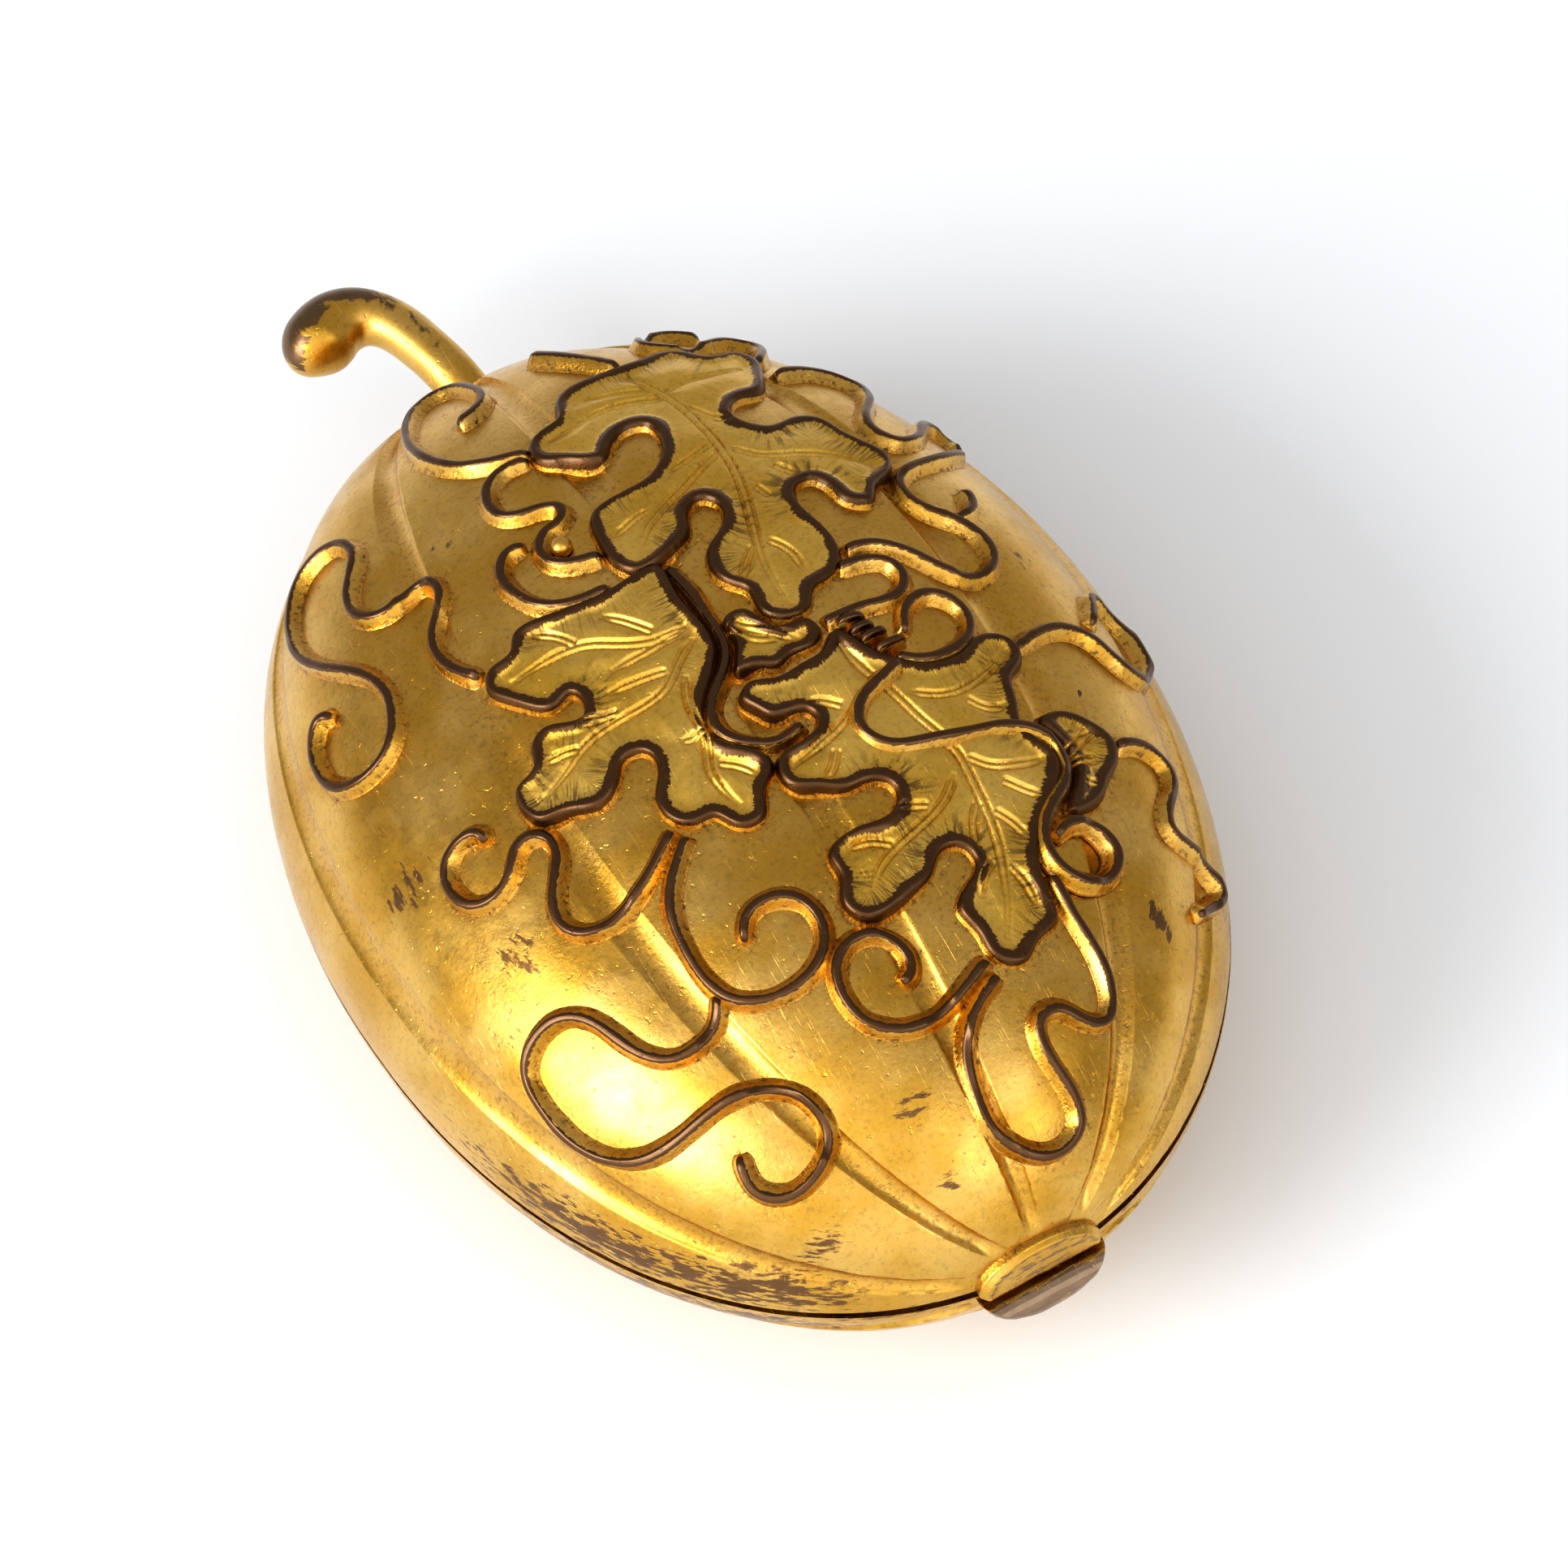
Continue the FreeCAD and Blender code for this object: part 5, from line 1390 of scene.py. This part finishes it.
@dataclass
class Stem:
    """Curled stem with a swelling knob, rubbed brown along its top."""

    root_radius: float = 2.15
    neck_radius: float = 1.74
    knob_radius: float = 2.62
    knob_at: float = 0.87
    knob_spread: float = 0.14
    around: int = 56
    step: float = 0.12
    rubbed_side: Tuple[float, float, float] = (-0.15, 0.72, 0.68)

    def build(self, material: bpy.types.Material) -> bpy.types.Object:
        """Sweep a round section along the stem.

        Formula: the radius falls from root to neck, swells to the knob as a bell curve along the length
        and closes as a quarter circle at the tip; flutes of a few hundredths keep it from looking turned.

        Args:
            material: The gilding.

        Returns:
            The stem's object.
        """
        path = smooth_curve(STEM, self.step)
        heading = np.gradient(path, axis=0)
        heading /= np.linalg.norm(heading, axis=1, keepdims=True)
        up = np.array([0.0, 0.0, 1.0]) - heading * heading[:, 2:3]
        up /= np.linalg.norm(up, axis=1, keepdims=True)
        side = np.cross(heading, up)
        share = np.linspace(0.0, 1.0, len(path))
        radius = self.neck_radius + (self.root_radius - self.neck_radius) * smoothstep(0.35, 0.0, share)
        swell = np.exp(-((share - self.knob_at) / self.knob_spread) ** 2)
        radius += (self.knob_radius - self.neck_radius) * swell
        run = share * len(path) * self.step
        tip = np.clip((run[-1] - run) / self.knob_radius, 0.0, 1.0)
        radius *= np.sqrt(1.0 - (1.0 - tip) ** 2)
        turn = np.linspace(0.0, 2.0 * math.pi, self.around, endpoint=False)
        rim = np.cos(turn)[None, :, None] * side[:, None, :] + np.sin(turn)[None, :, None] * up[:, None, :]
        rings = path[:, None, :] + rim * radius[:, None, None]
        rings += rim * (0.05 * ripple(rings, 6.0, 2.2))[..., None]
        rings = self.rooted(rings)
        facing = rim @ np.array(self.rubbed_side)
        worn = 0.72 * smoothstep(0.2, 0.95, facing) * smoothstep(0.2, 0.5, share)[:, None]
        worn = np.maximum(worn, 0.48 * smoothstep(0.6, 1.0, facing))
        # Deep at the root: painted shade with dirt where the stem meets the base.
        deep = 0.8 * smoothstep(0.14, 0.02, share)[:, None] * np.ones_like(worn)
        surface = ended(rings, {"worn": worn, "deep": deep})
        return make_piece("curled_stem", surface, Half.BASE, material, ("stem",), 80.0)

    def rooted(self, rings: Array) -> Array:
        """Keep the root within the base's wall, so that nothing shows inside the case.

        Args:
            rings: Points of the stem.

        Returns:
            The points, those too deep brought out to the middle of the wall.
        """
        shell = Melon(Half.BASE)
        half_wall = 0.5 * shell.wall
        core = replace(shell, half_length=shell.half_length - half_wall,
                       half_width=shell.half_width - half_wall, base_depth=shell.base_depth - half_wall)
        skin = core.onto(rings)[0]
        inside = np.linalg.norm(rings, axis=-1) < np.linalg.norm(skin, axis=-1)
        return np.where(inside[..., None], skin, rings)


@dataclass
class Boss:
    """Half of the blossom boss: a D-shaped bud that grows out of the front of a shell."""

    melon: Melon
    name: str
    node: str
    half_width: float
    slant: float
    profile: Tuple[Tuple[float, float, float, float, float], ...]

    def build(self, material: bpy.types.Material) -> bpy.types.Object:
        """Stack D-shaped rings outwards.

        Formula: each ring is a half ellipse closed by a straight side towards the seam. The profile
        gives, ring by ring, the share of the width, how far in front of the melon's end it stands, how
        worn it is, and the heights from the seam between which it lies; higher up, the front leans back.

        Args:
            material: The gilding.

        Returns:
            The boss's object.
        """
        stops = np.asarray(self.profile)
        fine = np.linspace(0.0, len(stops) - 1.0, 8 * (len(stops) - 1) + 1)
        columns = [np.interp(fine, np.arange(len(stops)), column)[:, None] for column in stops.T]
        share, reach, rub, start, stop = columns
        arc = np.linspace(0.0, math.pi, 61)
        foot = np.linspace(-1.0, 1.0, 21)[1:-1]
        across = self.half_width * share * np.concatenate([np.cos(arc), foot])
        height = SEAM_GAP + start + (stop - start) * np.concatenate([np.sin(arc), np.zeros(len(foot))])
        buried = self.front(across, height) + 0.5
        proud = -self.melon.half_length - reach * (1.0 - self.slant * height / stops[0, 4])
        along = np.where(reach < 0.0, buried, proud)
        rings = np.stack([across, along, self.melon.side * height], axis=-1)
        rings[..., 1] += 0.03 * ripple(rings, 2.3, 1.1)
        worn = np.broadcast_to(rub, across.shape)
        # Deep where the boss meets the shell: painted shade with dirt in the finish.
        deep = np.broadcast_to(smoothstep(0.35, 0.0, reach), across.shape)
        surface = ended(rings, {"worn": worn, "deep": deep})
        return make_piece(self.name, surface, self.melon.half, material, (self.node,), 50.0)

    def front(self, across: Array, height: Array) -> Array:
        """Y of the melon's front skin behind a place seen from the front.

        Args:
            across: X of each place.
            height: Distance of each place from the seam.

        Returns:
            One number for each place.
        """
        melon = self.melon
        round_part = (across / melon.half_width) ** 2 + (height / melon.rise) ** 2
        return -melon.half_length * (1.0 - round_part ** (melon.power / 2.0)) ** (1.0 / melon.power)


# ---------------------------------------------------------------- studio

@dataclass(frozen=True)
class Softbox:
    """Square light of a studio: where it stands, its side and its power."""

    name: str
    azimuth: float
    elevation: float
    distance: float
    side: float
    watts: float
    target: Tuple[float, float, float] = (0.0, 0.0, 0.02)

    def build(self) -> None:
        """Hang the light and aim it at the case."""
        lamp = bpy.data.lights.new(self.name, "AREA")
        lamp.shape = "SQUARE"
        lamp.size = self.side
        lamp.energy = self.watts
        light = bpy.data.objects.new(self.name, lamp)
        away = bearing(self.azimuth, self.elevation)
        light.location = Vector(self.target) + self.distance * away
        light.rotation_euler = away.to_track_quat("Z", "Y").to_euler()
        bpy.context.scene.collection.objects.link(light)


def bearing(azimuth: float, elevation: float) -> Vector:
    """Unit vector from the case towards a place around it.

    Args:
        azimuth: Degrees from the front, towards the right.
        elevation: Degrees above the floor.

    Returns:
        The vector.
    """
    turn = math.radians(azimuth)
    climb = math.radians(elevation)
    return Vector((math.sin(turn) * math.cos(climb), -math.cos(turn) * math.cos(climb), math.sin(climb)))


@dataclass(frozen=True)
class Camera:
    """Long lens that looks down on the case from the front left, slightly rolled."""

    azimuth: float = -19.448
    elevation: float = 56.144
    roll: float = -11.377
    distance: float = 600.0
    aside: Tuple[float, float] = (2.815, 2.979)
    lens: float = 207.59
    film_width: float = 36.0

    def build(self) -> None:
        """Place the camera and make it the scene's."""
        back = bearing(self.azimuth, self.elevation)
        level = Vector((0.0, 0.0, 1.0)).cross(back).normalized()
        upright = back.cross(level)
        roll = math.radians(self.roll)
        right = math.cos(roll) * level + math.sin(roll) * upright
        up = -math.sin(roll) * level + math.cos(roll) * upright
        spot = back * self.distance + right * self.aside[0] + up * self.aside[1]
        spot += Vector((0.0, 0.0, SEAM_HEIGHT))
        data = bpy.data.cameras.new("camera")
        data.lens = self.lens
        data.sensor_width = self.film_width
        data.clip_end = 20.0
        camera = bpy.data.objects.new("camera", data)
        turned = Matrix((right, up, back)).transposed().to_4x4()
        camera.matrix_world = Matrix.Translation(spot * MM) @ turned
        bpy.context.scene.collection.objects.link(camera)
        bpy.context.scene.camera = camera


@dataclass(frozen=True)
class Studio:
    """Pale floor, even surroundings and softboxes."""

    floor_half: float = 3.0
    floor_gap: float = 0.00003
    floor_tone: Colour = (0.93, 0.945, 0.97)
    dim: float = 0.39
    bright: float = 1.05
    bright_side: Tuple[float, float] = (-35.0, 12.0)
    bright_range: Tuple[float, float] = (0.15, 0.8)
    boxes: Tuple[Softbox, ...] = (
        Softbox("key", -85.0, 31.0, 0.9, 0.48, 4.0),
        Softbox("fill", 20.0, 34.0, 1.1, 0.4, 0.7),
    )

    def build(self) -> None:
        """Make the floor, the surroundings and the lights."""
        corner = self.floor_half
        mesh = bpy.data.meshes.new("floor")
        level = -self.floor_gap
        mesh.from_pydata([(-corner, -corner, level), (corner, -corner, level), (corner, corner, level),
                          (-corner, corner, level)], [], [(0, 1, 2, 3)])
        graph = Graph("floor_paper")
        paper = graph.noise(graph.millimetres(), 0.02, 2.0)
        darker = tuple(0.99 * part for part in self.floor_tone)
        graph.feed(graph.shader, "Base Color", graph.mix(paper, darker, self.floor_tone))
        graph.feed(graph.shader, "Roughness", 0.9)
        mesh.materials.append(graph.material)
        floor = bpy.data.objects.new("floor", mesh)
        bpy.context.scene.collection.objects.link(floor)
        self.build_surround()
        bpy.context.scene.view_settings.view_transform = "Standard"
        bpy.context.scene.view_settings.look = "High Contrast"
        for box in self.boxes:
            box.build()

    def build_surround(self) -> None:
        """Light tent: dim behind and above, bright towards the front left."""
        world = bpy.data.worlds.new("surround")
        world.use_nodes = True
        tree = world.node_tree
        sky = tree.nodes["Background"]
        sky.inputs["Color"].default_value = (1.0, 1.0, 1.0, 1.0)
        place = tree.nodes.new("ShaderNodeTexCoord")
        facing = tree.nodes.new("ShaderNodeVectorMath")
        facing.operation = "DOT_PRODUCT"
        facing.inputs[1].default_value = bearing(*self.bright_side)
        fade = tree.nodes.new("ShaderNodeMapRange")
        fade.interpolation_type = "SMOOTHSTEP"
        numbers = (*self.bright_range, self.dim, self.bright)
        for socket, number in zip(("From Min", "From Max", "To Min", "To Max"), numbers):
            fade.inputs[socket].default_value = number
        tree.links.new(place.outputs["Generated"], facing.inputs[0])
        tree.links.new(facing.outputs["Value"], fade.inputs["Value"])
        tree.links.new(fade.outputs["Result"], sky.inputs["Strength"])
        bpy.context.scene.world = world


# ---------------------------------------------------------------- the case

@dataclass
class NeedleCase:
    """The whole case: both shells, vine, boss, stem and the fittings that keep their own shape."""

    lid: Melon = Melon(Half.LID)
    base: Melon = Melon(Half.BASE)

    def build(self) -> None:
        """Make and dress every piece."""
        lid_flutes = Flutes(self.lid, (19.2, 48.7, 87.4, 118.8, 158.2))
        base_flutes = Flutes(self.base, (21.0, 54.0, 90.0, 126.0, 159.0))
        shell = Gilding("gilt_shell", chased=0.15).make()
        wire = Gilding("gilt_wire", gold_rough=0.26, brown_rough=0.32, ragged=0.6, fleck=3.0, scratches=0.3,
                       brown=(0.17, 0.08, 0.025), chased=0.4, lacquer=0.3).make()
        leaf = Gilding("gilt_leaf", ragged=0.95, grain=Grain.EDGE, chased=0.6, gold=(0.72, 0.44, 0.06),
                       pale=(0.85, 0.57, 0.14), brown=(0.16, 0.075, 0.022), gold_rough=0.38,
                       lacquer=0.25).make()
        brass = Gilding("worn_brass", brown=(0.26, 0.15, 0.065), gold_rough=0.34, ragged=0.6).make()
        rubbed = Gilding("rubbed_brass", brown=(0.38, 0.26, 0.165), brown_rough=0.42, gold_rough=0.26).make()
        vine = Vine(self.lid, lid_flutes)
        Shell(self.lid, lid_flutes, self.lid_patches(), vine.places()).build(shell)
        Shell(self.base, base_flutes, self.base_patches()).build(shell)
        vine.build(wire, leaf)
        self.build_boss(rubbed)
        Stem().build(brass)
        self.dress_fittings(brass)

    def lid_patches(self) -> Tuple[WornPatch, ...]:
        """Rubbed places on the lid.

        Returns:
            One patch for each place.
        """
        return (
            WornPatch(-23.5, 0.5, 3.0, 3.0, 0.5), WornPatch(-19.7, -9.5, 2.2, 3.0, 0.52),
            WornPatch(-22.5, -13.0, 1.2, 1.4, 0.45), WornPatch(-9.0, 21.0, 1.8, 1.4, 0.45),
            WornPatch(17.5, -26.8, 0.7, 1.5, 0.75), WornPatch(21.2, -10.9, 0.4, 0.4, 0.8),
            WornPatch(23.2, 1.0, 1.6, 2.4, 0.42), WornPatch(-3.5, -32.0, 2.4, 1.4, 0.5),
            WornPatch(-3.5, -36.2, 1.6, 0.7, 0.5), WornPatch(-12.5, -34.5, 3.0, 1.2, 0.5),
        )

    def base_patches(self) -> Tuple[WornPatch, ...]:
        """Rubbed places on the base.

        Returns:
            One patch for each place.
        """
        return (
            WornPatch(-27.0, -4.0, 3.0, 9.0, 0.45), WornPatch(-20.0, -26.0, 5.0, 6.0, 0.42),
            WornPatch(26.0, -8.0, 3.0, 8.0, 0.42), WornPatch(0.0, 0.0, 11.0, 14.0, 0.5),
        )

    def build_boss(self, material: bpy.types.Material) -> None:
        """Make both halves of the blossom boss.

        Args:
            material: Their finish.
        """
        upper = ((1.08, -1.0, 0.0, 0.0, 2.8), (1.06, 0.2, 0.0, 0.0, 2.7), (1.02, 0.45, 0.1, 0.0, 2.6),
                 (0.98, 0.68, 0.35, 0.0, 2.5), (0.94, 0.76, 0.45, 0.0, 2.4), (0.89, 0.72, 0.42, 0.0, 2.25),
                 (0.5, 0.74, 0.4, 0.5, 1.5), (0.02, 0.75, 0.4, 1.0, 1.05))
        lower = ((1.08, -1.0, 0.0, 0.0, 2.4), (1.05, 0.3, 0.1, 0.0, 2.35), (1.01, 0.75, 0.3, 0.0, 2.3),
                 (0.96, 1.1, 0.6, 0.06, 2.25), (0.88, 1.45, 0.75, 0.22, 2.15), (0.76, 1.74, 0.8, 0.48, 2.0),
                 (0.56, 1.95, 0.75, 0.8, 1.8), (0.3, 2.04, 0.7, 1.05, 1.5), (0.02, 2.06, 0.6, 1.25, 1.3))
        Boss(self.lid, "blossom_upper", "boss_upper", 4.2, 0.3, upper).build(material)
        Boss(self.base, "blossom_lower", "boss_lower", 4.3, 0.1, lower).build(material)

    def dress_fittings(self, brass: bpy.types.Material) -> None:
        """Give the parts that keep their own shape their finish.

        Args:
            brass: Finish of the hinge.
        """
        inner = Gilding("inner_brass", gold_rough=0.3, scratches=0.5, speckle=0.4).make()
        for name in ("base_bezel", "catch_tongue", "catch_lug", "bead_crook"):
            self.dress(name, inner)
        for name in ("hinge_base_leaf", "hinge_lid_leaf", "hinge_pin"):
            self.dress(name, brass)

    def dress(self, name: str, material: bpy.types.Material) -> None:
        """Put one finish on a node.

        Args:
            name: The node.
            material: Its finish.
        """
        mesh = frame["nodes"][name].data
        mesh.materials.clear()
        mesh.materials.append(material)
        LOG.info("%s: keeps its own shape", name)


def main() -> None:
    """Build the camera, the studio and the case."""
    logging.basicConfig(level=logging.INFO, format="%(name)s: %(message)s")
    Camera().build()
    Studio().build()
    NeedleCase().build()
    bpy.context.view_layer.update()


if __name__ == "__main__":
    main()
